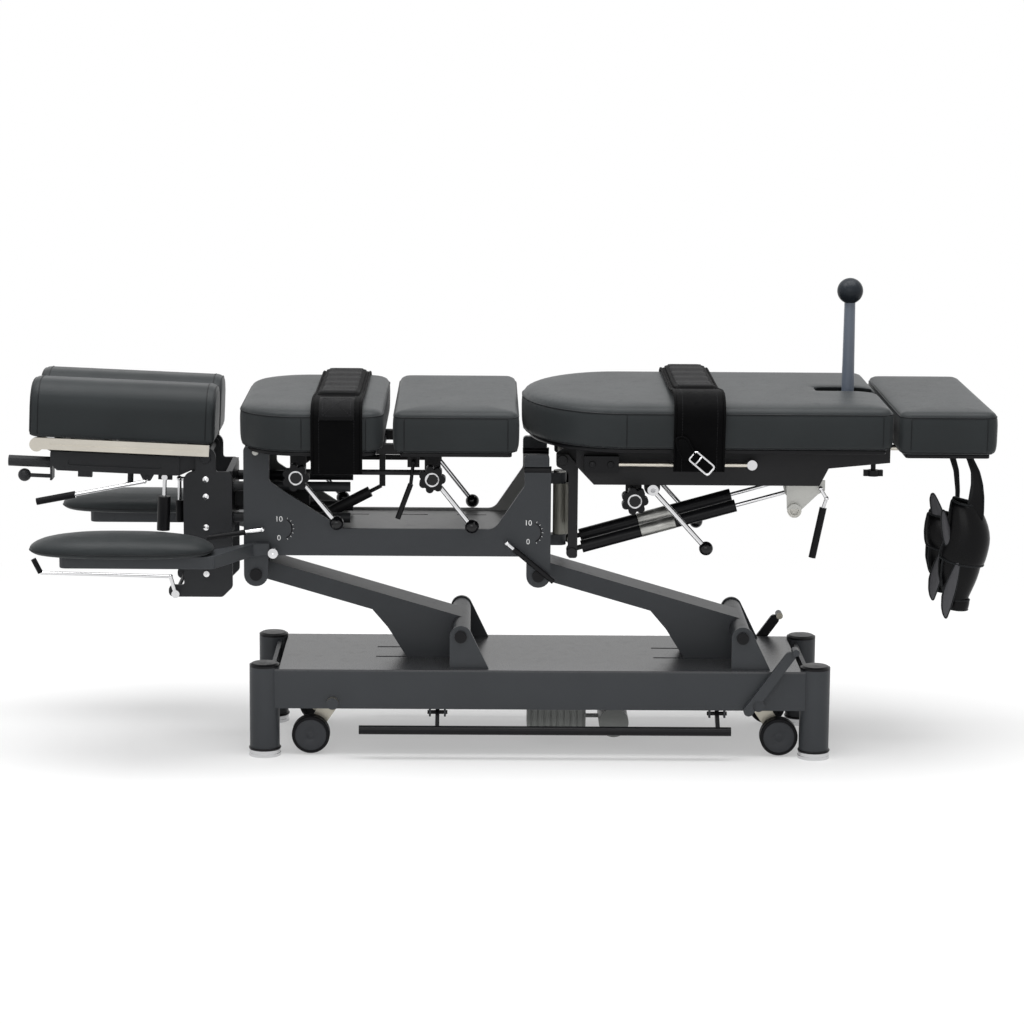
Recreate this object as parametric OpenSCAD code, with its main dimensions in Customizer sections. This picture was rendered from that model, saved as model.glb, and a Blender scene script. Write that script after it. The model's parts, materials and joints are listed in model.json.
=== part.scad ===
// Lifting chiropractic table with drop sections, flexion leg section and swing armrests.
// Millimetres. X runs from the head end to the foot end, +Z is up, the floor is at zero.

/* [Base frame] */
// Distance between the posts along the table
post_span_x = 1102; // [1060:2:1160]
// Distance between the posts across the table
post_span_y = 292; // [288:2:320]
// Outer diameter of a corner post
post_d = 60; // [54:1:64]
// Height of the top of a post cap
post_top_z = 190; // [186:1:200]
// Height of the deck surface
deck_z = 180; // [176:1:184]
// Height of the side rails
rail_h = 76; // [66:1:80]
// Width of a side rail
rail_w = 20; // [16:1:24]
// Sheet thickness of the rails
rail_wall = 4; // [3:0.5:6]

/* [Lift] */
// Distance between the two pivots of a lift arm
arm_len = 426; // [416:1:440]
// Angle of the lift arms above level in the modelled position
arm_angle = 16.2; // [13:0.1:19]
// Height of the lower arm pivots
low_pivot_z = 245; // [240:1:252]
// Place of the head side lower pivot along the table
low_pivot_x = -159; // [-170:1:-150]
// Distance between the two lift arms along the table
arm_pitch = 563; // [556:1:570]
// Width of a lift arm
arm_w = 98; // [98:2:110]
// Depth of a lift arm
arm_h = 37; // [36:1:44]

/* [Carriage] */
// Distance between the outer faces of the carriage side plates
carriage_w = 250; // [246:1:256]
// Thickness of the carriage side plates
plate_t = 8; // [6:1:10]
// Height of the middle rail of a side plate
plate_rail_h = 55; // [45:1:60]

/* [Cushions] */
// Width of the body cushions
cushion_w = 550; // [530:2:600]
// Thickness of the body cushions without their crown
cushion_h = 74; // [66:1:80]
// Height of the crown in the middle of a cushion
crown_h = 7; // [4:1:10]
// Length of the chest cushion
chest_len = 284; // [272:2:296]
// Length of the pelvic cushion
pelvic_len = 245; // [235:1:247]
// Length of the leg cushion
leg_len = 719; // [700:1:722]
// Length of the foot cushion
foot_len = 192; // [180:2:220]
// Length of the face cushions
face_len = 367; // [360:1:380]
// Width of one face cushion
face_w = 136; // [120:2:140]

/* [Wheels and handles] */
// Diameter of a caster wheel
wheel_d = 76; // [70:1:80]
// Width of a caster wheel
wheel_w = 26; // [20:1:30]
// Diameter of the flexion handle
handle_d = 27; // [22:1:30]
// Diameter of the ball on the flexion handle
handle_ball_d = 52; // [46:1:56]
// Length of an armrest pad
armrest_len = 360; // [330:2:380]
// Width of an armrest pad
armrest_w = 150; // [130:2:160]

/* [Fits] */
// Radial clearance of a running pin
run_gap = 0.05; // [0.03:0.01:0.09]
// Clearance between parts that only pass each other
pass_gap = 0.3; // [0.3:0.1:0.6]

/* [Hidden] */
$fn = 40;
hull_fn = 32;
frame_blue = "#3f4347";
black_plastic = "#17181a";
bright_chrome = "#c9ccd0";
warm_nickel = "#bdb6a8";
grey_green = "#8b8a7c";
leather_grey = "#33383a";
slate_blue = "#56616f";
zinc = "#9a9c9c";
over = 1;
both = [-1, 1];

// Places that several pieces share
post_x = post_span_x / 2;
post_y = post_span_y / 2;
post_r = post_d / 2;
rail_out_y = post_y + rail_w + rail_wall / 4;
deck_t = 4;
rail_top_z = deck_z - deck_t;
rail_low_z = rail_top_z - rail_h;
up_pivot_dx = -arm_len * cos(arm_angle);
up_pivot_x = low_pivot_x + up_pivot_dx;
up_pivot_z = low_pivot_z + arm_len * sin(arm_angle);
plate_out_y = carriage_w / 2;
plate_in_y = plate_out_y - plate_t;
top_z = 712;
board_t = 8;
belly_h = 5;
cushion_low_z = top_z - cushion_h - belly_h;
board_low_z = cushion_low_z - board_t;
beam_z1 = board_low_z - pass_gap;

// Moves a piece from the base frame's middle to the middle of the whole table
module at_rest() translate([table_mid_x, 0, 0]) children();

// Plain helpers for outlines
function unit(v) = v / norm(v);
function inward(p, q) = let (e = unit(q - p)) [-e[1], e[0]];
function inset(pts, d) = let (n = len(pts)) [for (i = [0:n - 1])
  let (a = inward(pts[(i + n - 1) % n], pts[i]), b = inward(pts[i], pts[(i + 1) % n]))
  pts[i] + d * (a + b) / (1 + a * b)];
function swing(a) = a > 180 ? a - 360 : a < -180 ? a + 360 : a;
function arc(c, r, a0, a1, n) = [for (i = [0:n]) c + r * [cos(a0 + (a1 - a0) * i / n),
  sin(a0 + (a1 - a0) * i / n)]];
function corner(p0, p, p1, r, n) = r <= 0 ? [p] :
  let (v0 = unit(p0 - p), v1 = unit(p1 - p), half = acos(v0 * v1) / 2,
    c = p + unit(v0 + v1) * r / sin(half),
    s0 = p + v0 * r / tan(half) - c, s1 = p + v1 * r / tan(half) - c,
    a0 = atan2(s0[1], s0[0]), da = swing(atan2(s1[1], s1[0]) - a0))
  arc(c, r, a0, a0 + da, n);
function rounded(pts, rads, n = 6) = let (k = len(pts)) [for (i = [0:k - 1])
  each corner(pts[(i + k - 1) % k], pts[i], pts[(i + 1) % k], rads[i], n)];
function toward(pts, c, share) = [for (p = pts) p + (c - p) * share];
function box_outline(x0, x1, half_w) = [[x0, -half_w], [x1, -half_w], [x1, half_w], [x0, half_w]];

// Plates, pins and rods
module slab_y(outline, y_low, thick) {
  translate([0, y_low + thick, 0]) rotate([90, 0, 0]) linear_extrude(thick) polygon(outline);
}
module pin_y(x, z, r, y_low, y_high) {
  translate([x, y_low, z]) rotate([-90, 0, 0]) cylinder(r = r, h = y_high - y_low);
}
module pin_x(y, z, r, x_low, x_high) {
  translate([x_low, y, z]) rotate([0, 90, 0]) cylinder(r = r, h = x_high - x_low);
}
module pin_z(x, y, r, z_low, z_high) {
  translate([x, y, z_low]) cylinder(r = r, h = z_high - z_low);
}
module block(x0, x1, y0, y1, z0, z1) {
  translate([x0, y0, z0]) cube([x1 - x0, y1 - y0, z1 - z0]);
}
module rod_between(p, q, r) {
  d = q - p;
  translate(p) rotate([0, acos(d[2] / norm(d)), atan2(d[1], d[0])])
    cylinder(r = r, h = norm(d));
}
module ball_at(p, r) {
  translate(p) sphere(r = r);
}
// A hole right across the table
module bore_y(x, z, r) {
  pin_y(x, z, r, -cushion_w, cushion_w);
}
// The same shapes on one side of the middle plane, from distance a to distance b
module side_pin(sy, x, z, r, a, b) {
  pin_y(x, z, r, min(sy * a, sy * b), max(sy * a, sy * b));
}
module side_block(sy, x0, x1, a, b, z0, z1) {
  block(x0, x1, min(sy * a, sy * b), max(sy * a, sy * b), z0, z1);
}
module side_slab(sy, outline, a, b) {
  slab_y(outline, min(sy * a, sy * b), abs(b - a));
}
// A solid of stacked rings that all have the same number of points
module stacked(rings, low_mid, top_mid) {
  n = len(rings[0]);
  k = len(rings);
  points = [for (ring = rings) each ring, low_mid, top_mid];
  sides = [for (j = [0:k - 2]) for (i = [0:n - 1]) each [
    [j * n + i, (j + 1) * n + i, (j + 1) * n + (i + 1) % n],
    [j * n + i, (j + 1) * n + (i + 1) % n, j * n + (i + 1) % n]]];
  low = [for (i = [0:n - 1]) [k * n, i, (i + 1) % n]];
  high = [for (i = [0:n - 1]) [k * n + 1, (k - 1) * n + (i + 1) % n, (k - 1) * n + i]];
  polyhedron(points = points, faces = concat(sides, low, high));
}
function raised(outline, z) = [for (p = outline) [p[0], p[1], z]];

// Shape of a padded cushion: drawn-in sides, a seam round the top and a soft crown
low_inset = 9;
low_round_h = 5;
side_inset = 2;
side_h = 20;
seam_inset = 4;
seam_drop = 9;
edge_inset = 10;
edge_drop = 3;
crown_rings = [[0.12, 0.3], [0.3, 0.62], [0.55, 0.87], [0.8, 0.98]];
module padded(outline, z0, z1, crown) {
  mid = (min([for (p = outline) p[0]]) + max([for (p = outline) p[0]])) / 2;
  c = [mid, 0];
  edge = inset(outline, edge_inset);
  stacked(concat([
    raised(inset(outline, low_inset), z0),
    raised(inset(outline, side_inset), z0 + low_round_h),
    raised(outline, z0 + side_h),
    raised(outline, z1 - side_h),
    raised(inset(outline, side_inset), z1 - seam_drop),
    raised(inset(outline, seam_inset), z1 - edge_drop),
    raised(edge, z1)],
    [for (s = crown_rings) raised(toward(edge, c, s[0]), z1 + crown * s[1])]),
    [mid, 0, z0], [mid, 0, z1 + crown]);
}

// Base frame
cap_h = 8;
disc_h = 6;
disc_over = 2;
ring_h = 7;
ring_over = 1;
tube_wall = 3;
post_low_z = disc_h + ring_h;
post_high_z = post_top_z - cap_h;
module at_posts() {
  for (sx = both, sy = both) translate([sx * post_x, sy * post_y, 0]) children();
}
module base_posts() {
  color(frame_blue) at_rest() at_posts() translate([0, 0, post_low_z]) difference() {
    cylinder(r = post_r, h = post_high_z - post_low_z);
    translate([0, 0, -over])
      cylinder(r = post_r - tube_wall, h = post_high_z - post_low_z + 2 * over);
  }
}
cap_rim_h = 4;
cap_dome_share = 0.82;
module post_caps() {
  color(black_plastic) at_rest() at_posts() translate([0, 0, post_high_z])
    rotate_extrude() polygon([[0, 0], [post_r, 0], [post_r, cap_rim_h],
      [post_r * cap_dome_share, cap_h - cap_rim_h / 4], [0, cap_h]]);
}
module foot_discs() {
  color(zinc) at_rest() at_posts() {
    cylinder(r = post_r + disc_over, h = disc_h);
    translate([0, 0, disc_h]) cylinder(r = post_r + ring_over, h = ring_h);
  }
}
caster_in_x = 45;
caster_up_z = 71;
wheel_axle_z = 41;
caster_head_x = -459;
caster_foot_x = 481;
caster_shaft_r = 12;
caster_shaft_z = wheel_axle_z + caster_up_z;
head_shaft_x = caster_head_x + caster_in_x;
foot_shaft_x = caster_foot_x - caster_in_x;
end_rail_x = post_x - post_r / 2;
module base_rails() {
  web = [[0, 0], [rail_w, 0], [rail_w, rail_wall], [rail_wall, rail_wall],
    [rail_wall, rail_h - rail_wall], [rail_w, rail_h - rail_wall], [rail_w, rail_h],
    [0, rail_h]];
  color(frame_blue) at_rest() {
    for (sy = both) difference() {
      mirror([0, sy > 0 ? 1 : 0, 0]) translate([-post_x, -rail_out_y, rail_low_z])
        rotate([90, 0, 90]) linear_extrude(2 * post_x) polygon(web);
      post_room();
      for (x = [head_shaft_x, foot_shaft_x])
        pin_y(x, caster_shaft_z, caster_shaft_r + run_gap,
          -rail_out_y - over, rail_out_y + over);
    }
    for (sx = both) difference() {
      block(sx * end_rail_x - rail_wall, sx * end_rail_x + rail_wall,
        -post_y, post_y, rail_low_z, rail_top_z);
      post_room();
    }
  }
  foot_bar_hangers();
}
module post_room() at_posts() cylinder(r = post_r, h = post_top_z);
// Slots in the deck for the lever plates of the lift arms
lever_y = 45;
lever_t = 6;
slot_gap = 1.5;
slot_left = 172;
slot_right = 34;
module deck_plate() {
  color(frame_blue) at_rest() difference() {
    block(-post_x, post_x, -rail_out_y, rail_out_y, rail_top_z, deck_z);
    post_room();
    for (sx = both) block(sx * post_x - post_r, sx * post_x + post_r,
      -post_y, post_y, rail_top_z - over, deck_z + over);
    for (x = [low_pivot_x, low_pivot_x + arm_pitch], sy = both)
      block(x - slot_left, x + slot_right, sy * lever_y - lever_t / 2 - slot_gap,
        sy * lever_y + lever_t / 2 + slot_gap, rail_top_z - over, deck_z + over);
  }
}
ear_r = 22;
ear_t = 8;
ear_y = 150;
ear_base_w = 78;
low_pin_r = 10;
module pivot_ears() {
  lean = atan2(low_pivot_z - deck_z, ear_base_w - 2 * ear_r);
  color(frame_blue) at_rest() for (x = [low_pivot_x, low_pivot_x + arm_pitch], sy = both)
    difference() {
      union() {
        slab_y([[x - ear_r, deck_z], [x - ear_r + ear_base_w, deck_z],
          [x + ear_r * sin(lean), low_pivot_z + ear_r * cos(lean)],
          [x - ear_r, low_pivot_z]], sy * ear_y - ear_t / 2, ear_t);
        side_pin(sy, x, low_pivot_z, ear_r, ear_y - ear_t / 2, ear_y + ear_t / 2);
      }
      pin_y(x, low_pivot_z, low_pin_r, -ear_y - ear_t, ear_y + ear_t);
    }
  drive_lugs();
}
pin_head_r = 12;
pin_head_h = 6;
module lower_pivot_pins() {
  color(black_plastic) at_rest() for (x = [low_pivot_x, low_pivot_x + arm_pitch]) {
    pin_y(x, low_pivot_z, low_pin_r, -ear_y - ear_t / 2, ear_y + ear_t / 2);
    for (sy = both) side_pin(sy, x, low_pivot_z, pin_head_r, ear_y + ear_t / 2,
      ear_y + ear_t / 2 + pin_head_h);
  }
}

// Foot bars that raise and lower the table
bar_r = 9;
bar_y = 188;
bar_z = 62;
bar_head_x = -361;
bar_foot_x = 381;
bar_pivot_y = 150;
bar_pivot_z = 90;
bar_pin_r = 4;
hanger_xs = [-205, 355];
hanger_w = 30;
hanger_t = 4;
bar_arm_t = 8;
module foot_bar_hangers() {
  color(frame_blue) at_rest() for (x = hanger_xs, sy = both) {
    for (sx = both) difference() {
      block(x + sx * hanger_w / 2 - hanger_t / 2, x + sx * hanger_w / 2 + hanger_t / 2,
        sy * bar_pivot_y - hanger_w / 4, sy * bar_pivot_y + hanger_w / 4,
        bar_pivot_z - hanger_w / 4, rail_low_z);
      pin_x(sy * bar_pivot_y, bar_pivot_z, bar_pin_r + run_gap,
        x - hanger_w, x + hanger_w);
    }
  }
}
module foot_bar(sy) {
  color(black_plastic) at_rest() {
    pin_x(sy * bar_y, bar_z, bar_r, bar_head_x, bar_foot_x);
    for (x = hanger_xs) {
      pin_x(sy * bar_pivot_y, bar_pivot_z, bar_pin_r, x - hanger_w * 2 / 3,
        x + hanger_w * 2 / 3);
      difference() {
        hull() for (p = [[bar_pivot_y, bar_pivot_z], [bar_y, bar_z]])
          pin_x(sy * p[0], p[1], bar_pin_r * 1.6, x - bar_arm_t / 2,
            x + bar_arm_t / 2, $fn = hull_fn);
        pin_x(sy * bar_y, bar_z, bar_r, x - bar_arm_t, x + bar_arm_t);
      }
    }
  }
}
module near_foot_bar() foot_bar(-1);
module far_foot_bar() foot_bar(1);

// Lift drive under the deck
lever_r = 138;
lever_angle = 252;
lever_x = low_pivot_x + lever_r * cos(lever_angle);
lever_z = low_pivot_z + lever_r * sin(lever_angle);
lever_pin_r = 6;
drive_x = 150;
drive_z = 118;
drive_pin_r = 8;
drive_tube_r = 20;
drive_lug_y = 28;
drive_rod_r = 11;
drive_tube_head_x = -60;
motor_x0 = -25;
motor_x1 = 93;
motor_y0 = -126;
motor_y1 = -34;
motor_z0 = 46;
motor_z1 = 98;
rib_count = 9;
rib_depth = 3;
gear_r = 30;
gear_y0 = -118;
gear_z = 62;
module drive_lugs() {
  w = 2 * drive_pin_r;
  color(frame_blue) at_rest() for (sy = both) difference() {
    side_slab(sy, box_xz(drive_x - w, drive_x + w, drive_z - w, rail_top_z),
      drive_lug_y - ear_t / 2, drive_lug_y + ear_t / 2);
    bore_y(drive_x, drive_z, drive_pin_r + run_gap);
  }
}
module lift_actuator() {
  rib_pitch = (motor_x1 - motor_x0) / rib_count;
  color(grey_green) at_rest() {
    difference() {
      pin_x(0, drive_z, drive_tube_r, drive_tube_head_x, drive_x + drive_tube_r);
      pin_x(0, drive_z, drive_rod_r + run_gap, drive_tube_head_x - over,
        drive_x - 3 * drive_pin_r);
      pin_y(drive_x, drive_z, drive_pin_r, -drive_tube_r - over, drive_tube_r + over);
    }
    difference() {
      block(motor_x0, motor_x1, motor_y0, motor_y1, motor_z0, motor_z1);
      for (i = [0:rib_count - 1]) block(motor_x0 + (i + 0.5) * rib_pitch,
        motor_x0 + (i + 0.8) * rib_pitch, motor_y0 - over, motor_y0 + rib_depth,
        motor_z0 - over, motor_z1 + over);
    }
    block(motor_x0, motor_x1, motor_y1, 0, motor_z1 - 4 * rib_depth,
      drive_z - drive_tube_r * 0.7);
    difference() {
      pin_y(drive_x, gear_z, gear_r, gear_y0, -drive_tube_r - over / 2);
      block(motor_x0, motor_x1, motor_y0 - over, over, motor_z0 - over, motor_z1 + over);
    }
    block(motor_x1, drive_x, motor_y1 - gear_r / 2, motor_y1, motor_z0 + gear_r / 3,
      motor_z0 + gear_r / 2);
    pin_y(drive_x, drive_z, drive_pin_r, -drive_lug_y - ear_t, drive_lug_y + ear_t);
  }
}
eye_r = 17;
eye_bore_r = 12.5;
eye_w = 40;
module actuator_rod() {
  color(bright_chrome) at_rest() difference() {
    union() {
      pin_x(0, drive_z, drive_rod_r, lever_x + eye_bore_r, drive_tube_head_x + 2.5 * eye_w);
      pin_y(lever_x, lever_z, eye_r, -eye_w / 2, eye_w / 2);
    }
    pin_y(lever_x, lever_z, eye_bore_r, -eye_w, eye_w);
  }
}

// Retractable casters on two cross shafts
wheel_y = 135;
wheel_r = wheel_d / 2;
axle_r = 6;
fork_t = 6;
fork_r = 14;
shaft_half = 178;
module caster_frame(shaft_x, wheel_x) {
  pin_y(shaft_x, caster_shaft_z, caster_shaft_r, -shaft_half, shaft_half);
  for (sy = both) difference() {
    union() {
      difference() {
        hull() {
          pin_y(shaft_x, caster_shaft_z, fork_r + fork_t / 2, fork_y(sy) - fork_t / 2,
            fork_y(sy) + fork_t / 2, $fn = hull_fn);
          pin_y(wheel_x, wheel_axle_z, fork_r, fork_y(sy) - fork_t / 2,
            fork_y(sy) + fork_t / 2, $fn = hull_fn);
        }
        pin_y(shaft_x, caster_shaft_z, caster_shaft_r, fork_y(sy) - fork_t,
          fork_y(sy) + fork_t);
        pin_y(wheel_x, wheel_axle_z, axle_r, fork_y(sy) - fork_t,
          fork_y(sy) + fork_t);
      }
      side_pin(sy, wheel_x, wheel_axle_z, axle_r, wheel_y + wheel_w / 2,
        abs(fork_y(sy)) - fork_t / 2);
    }
  }
}
function fork_y(sy) = sy * (wheel_y - wheel_w / 2 - fork_t / 2 - pass_gap);
module head_caster_frame() color(grey_green) at_rest() caster_frame(head_shaft_x, caster_head_x);
pedal_t = 8;
pedal_w = 20;
pedal_top_x = 497;
pedal_top_z = 214;
pedal_peg_r = 7;
pedal_peg_w = 30;
module foot_caster_frame() {
  color(grey_green) at_rest() {
    caster_frame(foot_shaft_x, caster_foot_x);
    for (sy = both) {
      difference() {
        hull() for (p = [[foot_shaft_x - pedal_w, caster_shaft_z - pedal_w / 2],
          [pedal_top_x, pedal_top_z]])
          pin_y(p[0], p[1], pedal_w / 2, pedal_y(sy) - pedal_t / 2,
            pedal_y(sy) + pedal_t / 2, $fn = hull_fn);
        pin_y(foot_shaft_x, caster_shaft_z, caster_shaft_r,
          pedal_y(sy) - pedal_t, pedal_y(sy) + pedal_t);
      }
      pin_y(pedal_top_x + pedal_w / 2, pedal_top_z + pedal_w / 2, pedal_peg_r,
        pedal_y(sy) - pedal_peg_w / 2, pedal_y(sy) + pedal_peg_w / 2);
    }
  }
}
function pedal_y(sy) = sy * (rail_out_y + pedal_t + rail_wall);
tyre_w = 4;
tread_groove = 2;
module wheel(x, sy) {
  color(black_plastic) at_rest() translate([x, sy * wheel_y, wheel_axle_z])
    rotate([90, 0, 0]) rotate_extrude() polygon([
      [axle_r + run_gap, -wheel_w / 2], [wheel_r - 3 * tyre_w, -wheel_w / 2],
      [wheel_r - 3 * tyre_w, -wheel_w / 2 + tread_groove],
      [wheel_r - 2 * tyre_w, -wheel_w / 2 + tread_groove],
      [wheel_r - 2 * tyre_w, -wheel_w / 2], [wheel_r - tyre_w / 2, -wheel_w / 2],
      [wheel_r, -wheel_w / 2 + tyre_w / 2], [wheel_r, -tread_groove],
      [wheel_r - tread_groove, 0], [wheel_r, tread_groove],
      [wheel_r, wheel_w / 2 - tyre_w / 2], [wheel_r - tyre_w / 2, wheel_w / 2],
      [wheel_r - 2 * tyre_w, wheel_w / 2], [wheel_r - 2 * tyre_w, wheel_w / 2 - tread_groove],
      [wheel_r - 3 * tyre_w, wheel_w / 2 - tread_groove], [wheel_r - 3 * tyre_w, wheel_w / 2],
      [axle_r + run_gap, wheel_w / 2]]);
}
module near_head_wheel() wheel(caster_head_x, -1);
module far_head_wheel() wheel(caster_head_x, 1);
module near_foot_wheel() wheel(caster_foot_x, -1);
module far_foot_wheel() wheel(caster_foot_x, 1);

// Lift arms: a folded channel with two lever plates, a lower tube and an upper tube
arm_wall = 5;
arm_rise = 0.3;
arm_tube_r = 19;
up_pin_r = 9;
lever_top_x = 190;
lever_tip_r = 16;
module lift_arm(x, pin_on_lever) color(frame_blue) at_rest() translate([x, 0, low_pivot_z]) {
  low_half = ear_y - ear_t / 2 - pass_gap;
  up_half = plate_in_y - pass_gap;
  x_head = -arm_len;
  arm_low = arm_rise - arm_h / 2;
  arm_top = arm_rise + arm_h / 2;
  tip = [lever_r * cos(lever_angle), lever_r * sin(lever_angle)];
  difference() {
    union() {
      rotate([0, arm_angle, 0]) difference() {
        block(x_head, 0, -arm_w / 2, arm_w / 2, arm_low, arm_top);
        block(x_head - over, over, -arm_w / 2 + arm_wall, arm_w / 2 - arm_wall,
          arm_low - over, arm_top - arm_wall);
      }
      pin_y(0, 0, arm_tube_r, -low_half, low_half);
      rotate([0, arm_angle, 0]) pin_y(x_head, 0, arm_tube_r, -up_half, up_half);
      for (sy = both) slab_y(rounded([[0, up_pin_r], [-lever_top_x, lever_top_x * 0.237],
        [-lever_top_x * 0.777, -arm_tube_r / 4], [-lever_r * 0.78, -lever_r / 2],
        tip + [-lever_tip_r, -lever_tip_r], tip + [lever_tip_r, -lever_tip_r],
        [0, -up_pin_r]], [0, 0, lever_r / 2, lever_r, lever_tip_r, lever_tip_r, 0], 5),
        sy * lever_y - lever_t / 2, lever_t);
    }
    pin_y(0, 0, low_pin_r + run_gap, -ear_y, ear_y);
    rotate([0, arm_angle, 0]) pin_y(x_head, 0, up_pin_r + run_gap, -ear_y, ear_y);
    if (pin_on_lever) pin_y(tip[0], tip[1], lever_pin_r, -ear_y, ear_y);
  }
  if (pin_on_lever) pin_y(tip[0], tip[1], lever_pin_r, -lever_y - lever_t, lever_y + lever_t);
}
module head_lift_arm() lift_arm(low_pivot_x, true);
module foot_lift_arm() lift_arm(low_pivot_x + arm_pitch, false);

// Carriage: side plates, pan, end plates and their fittings
lobe_r = 24;
head_up_w = 51;
head_top_z = beam_z1;
foot_up_w = 53;
foot_top_z = 585;
mid_low_z = 403;
mid_top_z = mid_low_z + plate_rail_h;
head_slope_w = 144;
head_slope_z = 552;
foot_slope_w = 59;
foot_slope_z = 545;
plate_x0 = up_pivot_x - lobe_r;
plate_x1 = up_pivot_x + arm_pitch + lobe_r;
head_lever_dx = 38;
head_lever_z = 457;
leg_lever_dx = 87;
leg_lever_z = 432;
lever_shaft_r = 5;
arm_bolt_dx = 59;
arm_bolt_z = 410;
arm_bolt_r = 6;
module side_plate(sy) {
  low = up_pivot_z - lobe_r;
  r = lobe_r * 0.98;
  outline = rounded([[plate_x0, low], [plate_x0 + 2 * lobe_r, low],
    [plate_x0 + 2 * lobe_r, mid_low_z], [plate_x1 - 2 * lobe_r, mid_low_z],
    [plate_x1 - 2 * lobe_r, low], [plate_x1, low], [plate_x1, foot_top_z],
    [plate_x1 - foot_up_w, foot_top_z], [plate_x1 - foot_up_w, foot_slope_z],
    [plate_x1 - foot_up_w - foot_slope_w, mid_top_z],
    [plate_x0 + head_up_w + head_slope_w, mid_top_z],
    [plate_x0 + head_up_w, head_slope_z], [plate_x0 + head_up_w, head_top_z],
    [plate_x0, head_top_z]],
    [r, r, r / 2, r / 2, r, r, r / 4, r / 4, r / 2, r, r, r / 2, r / 2, r / 2]);
  color(frame_blue) at_rest() difference() {
    slab_y(outline, sy * (plate_out_y - plate_t / 2) - plate_t / 2, plate_t);
    for (x = [up_pivot_x, up_pivot_x + arm_pitch])
      bore_y(x, up_pivot_z, up_pin_r);
    bore_y(plate_x0 + arm_bolt_dx, arm_bolt_z, arm_bolt_r);
    if (sy < 0) {
      bore_y(plate_x0 + head_lever_dx, head_lever_z, lever_shaft_r + run_gap);
      bore_y(plate_x1 - leg_lever_dx, leg_lever_z, lever_shaft_r + run_gap);
    }
  }
}
module near_side_plate() side_plate(-1);
module far_side_plate() side_plate(1);
pan_t = 4;
pan_drop = 4;
end_plate_t = 12;
head_end_x = plate_x0 + 3 * over;
foot_end_x = plate_x1 - 10;
guide_r = 10;
guide_y = 70;
guide_low_z = 470;
guide_high_z = 533;
lock_bar = 34;
lock_bar_z = 501;
swivel_x = 39;
swivel_pin_r = 8;
barrel_r = 13.5;
barrel_z0 = 428;
barrel_z1 = 532;
knuckle_h = 22;
pan_slot_l = 60;
pan_slot_w = 6;
module carriage_cross_plates() {
  inner = plate_in_y;
  color(frame_blue) at_rest() {
    difference() {
      block(head_end_x + end_plate_t, foot_end_x - end_plate_t, -inner, inner,
        mid_top_z - pan_drop - pan_t, mid_top_z - pan_drop);
      for (i = [1:4]) translate([head_end_x + i * pan_slot_l * 2 - pan_slot_l, 0, 0])
        block(0, pan_slot_l, inner / 2, inner / 2 + pan_slot_w,
          mid_top_z - 3 * pan_t, mid_top_z);
    }
    difference() {
      block(head_end_x, head_end_x + end_plate_t, -inner, inner, mid_low_z, beam_z1);
      for (sy = both, z = [guide_low_z, guide_high_z])
        pin_x(sy * guide_y, z, guide_r + run_gap, plate_x0 - over, head_end_x + lobe_r);
      block(plate_x0 - over, head_end_x + lobe_r, -lock_bar / 2 - pass_gap,
        lock_bar / 2 + pass_gap, lock_bar_z - lock_bar / 2 - pass_gap,
        lock_bar_z + lock_bar / 2 + pass_gap);
    }
    block(foot_end_x - end_plate_t, foot_end_x, -inner, inner, mid_low_z, foot_slope_z + lobe_r);
    for (z = [barrel_z0 - pass_gap - knuckle_h, barrel_z1 + pass_gap]) difference() {
      union() {
        block(foot_end_x, swivel_x, -barrel_r, barrel_r, z, z + knuckle_h);
        pin_z(swivel_x, 0, barrel_r, z, z + knuckle_h);
      }
      pin_z(swivel_x, 0, swivel_pin_r, z - over, z + knuckle_h + over);
    }
  }
}
cap_block_h = 24;
cap_block_t = 16;
dome_r = 7;
dome_h = 4;
module dome_bolt(x, y, z, side) {
  translate([x, y, z]) rotate([-side * 90, 0, 0]) rotate_extrude()
    polygon([[0, 0], [dome_r, 0], [dome_r * 0.86, dome_h * 0.7], [0, dome_h]]);
}
module carriage_fittings() {
  color(zinc) at_rest() {
    for (x = [up_pivot_x, up_pivot_x + arm_pitch]) {
      pin_y(x, up_pivot_z, up_pin_r, -plate_out_y, plate_out_y);
      for (sy = both) side_pin(sy, x, up_pivot_z, pin_head_r, plate_out_y,
        plate_out_y + pin_head_h);
    }
    for (sy = both) {
      mid = sy * (plate_out_y - plate_t / 2);
      slab_y(rounded(box_xz(plate_x1 - foot_up_w, plate_x1 - dome_h, foot_top_z,
        foot_top_z + cap_block_h), [0, 0, dome_r, dome_r]),
        mid - cap_block_t / 2, cap_block_t);
      dome_bolt(plate_x0 + lobe_r, sy * plate_out_y, head_top_z - 2 * dome_r, sy);
      side_pin(sy, plate_x0 + arm_bolt_dx, arm_bolt_z, arm_bolt_r, plate_in_y,
        arm_lug_y + arm_lug_t + pass_gap);
      side_pin(sy, plate_x0 + arm_bolt_dx, arm_bolt_z, arm_bolt_r + dome_h, plate_out_y,
        arm_lug_y - pass_gap);
      big_bolt(plate_x0 + arm_bolt_dx, sy * (arm_lug_y + arm_lug_t + pass_gap),
        arm_bolt_z, sy);
    }
    pin_z(swivel_x, 0, swivel_pin_r, barrel_z0 - knuckle_h - pass_gap,
      barrel_z1 + knuckle_h + pass_gap);
    pin_z(swivel_x, 0, barrel_r - over, barrel_z1 + knuckle_h + pass_gap,
      barrel_z1 + knuckle_h + pass_gap + dome_h);
  }
}
function box_xz(x0, x1, z0, z1) = [[x0, z0], [x1, z0], [x1, z1], [x0, z1]];
arm_bolt_head_r = 11;
module big_bolt(x, y, z, side) {
  translate([x, y, z]) rotate([-side * 90, 0, 0]) rotate_extrude()
    polygon([[0, 0], [arm_bolt_head_r, 0], [arm_bolt_head_r * 0.9, dome_h],
      [0, dome_h * 1.2]]);
}
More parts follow.
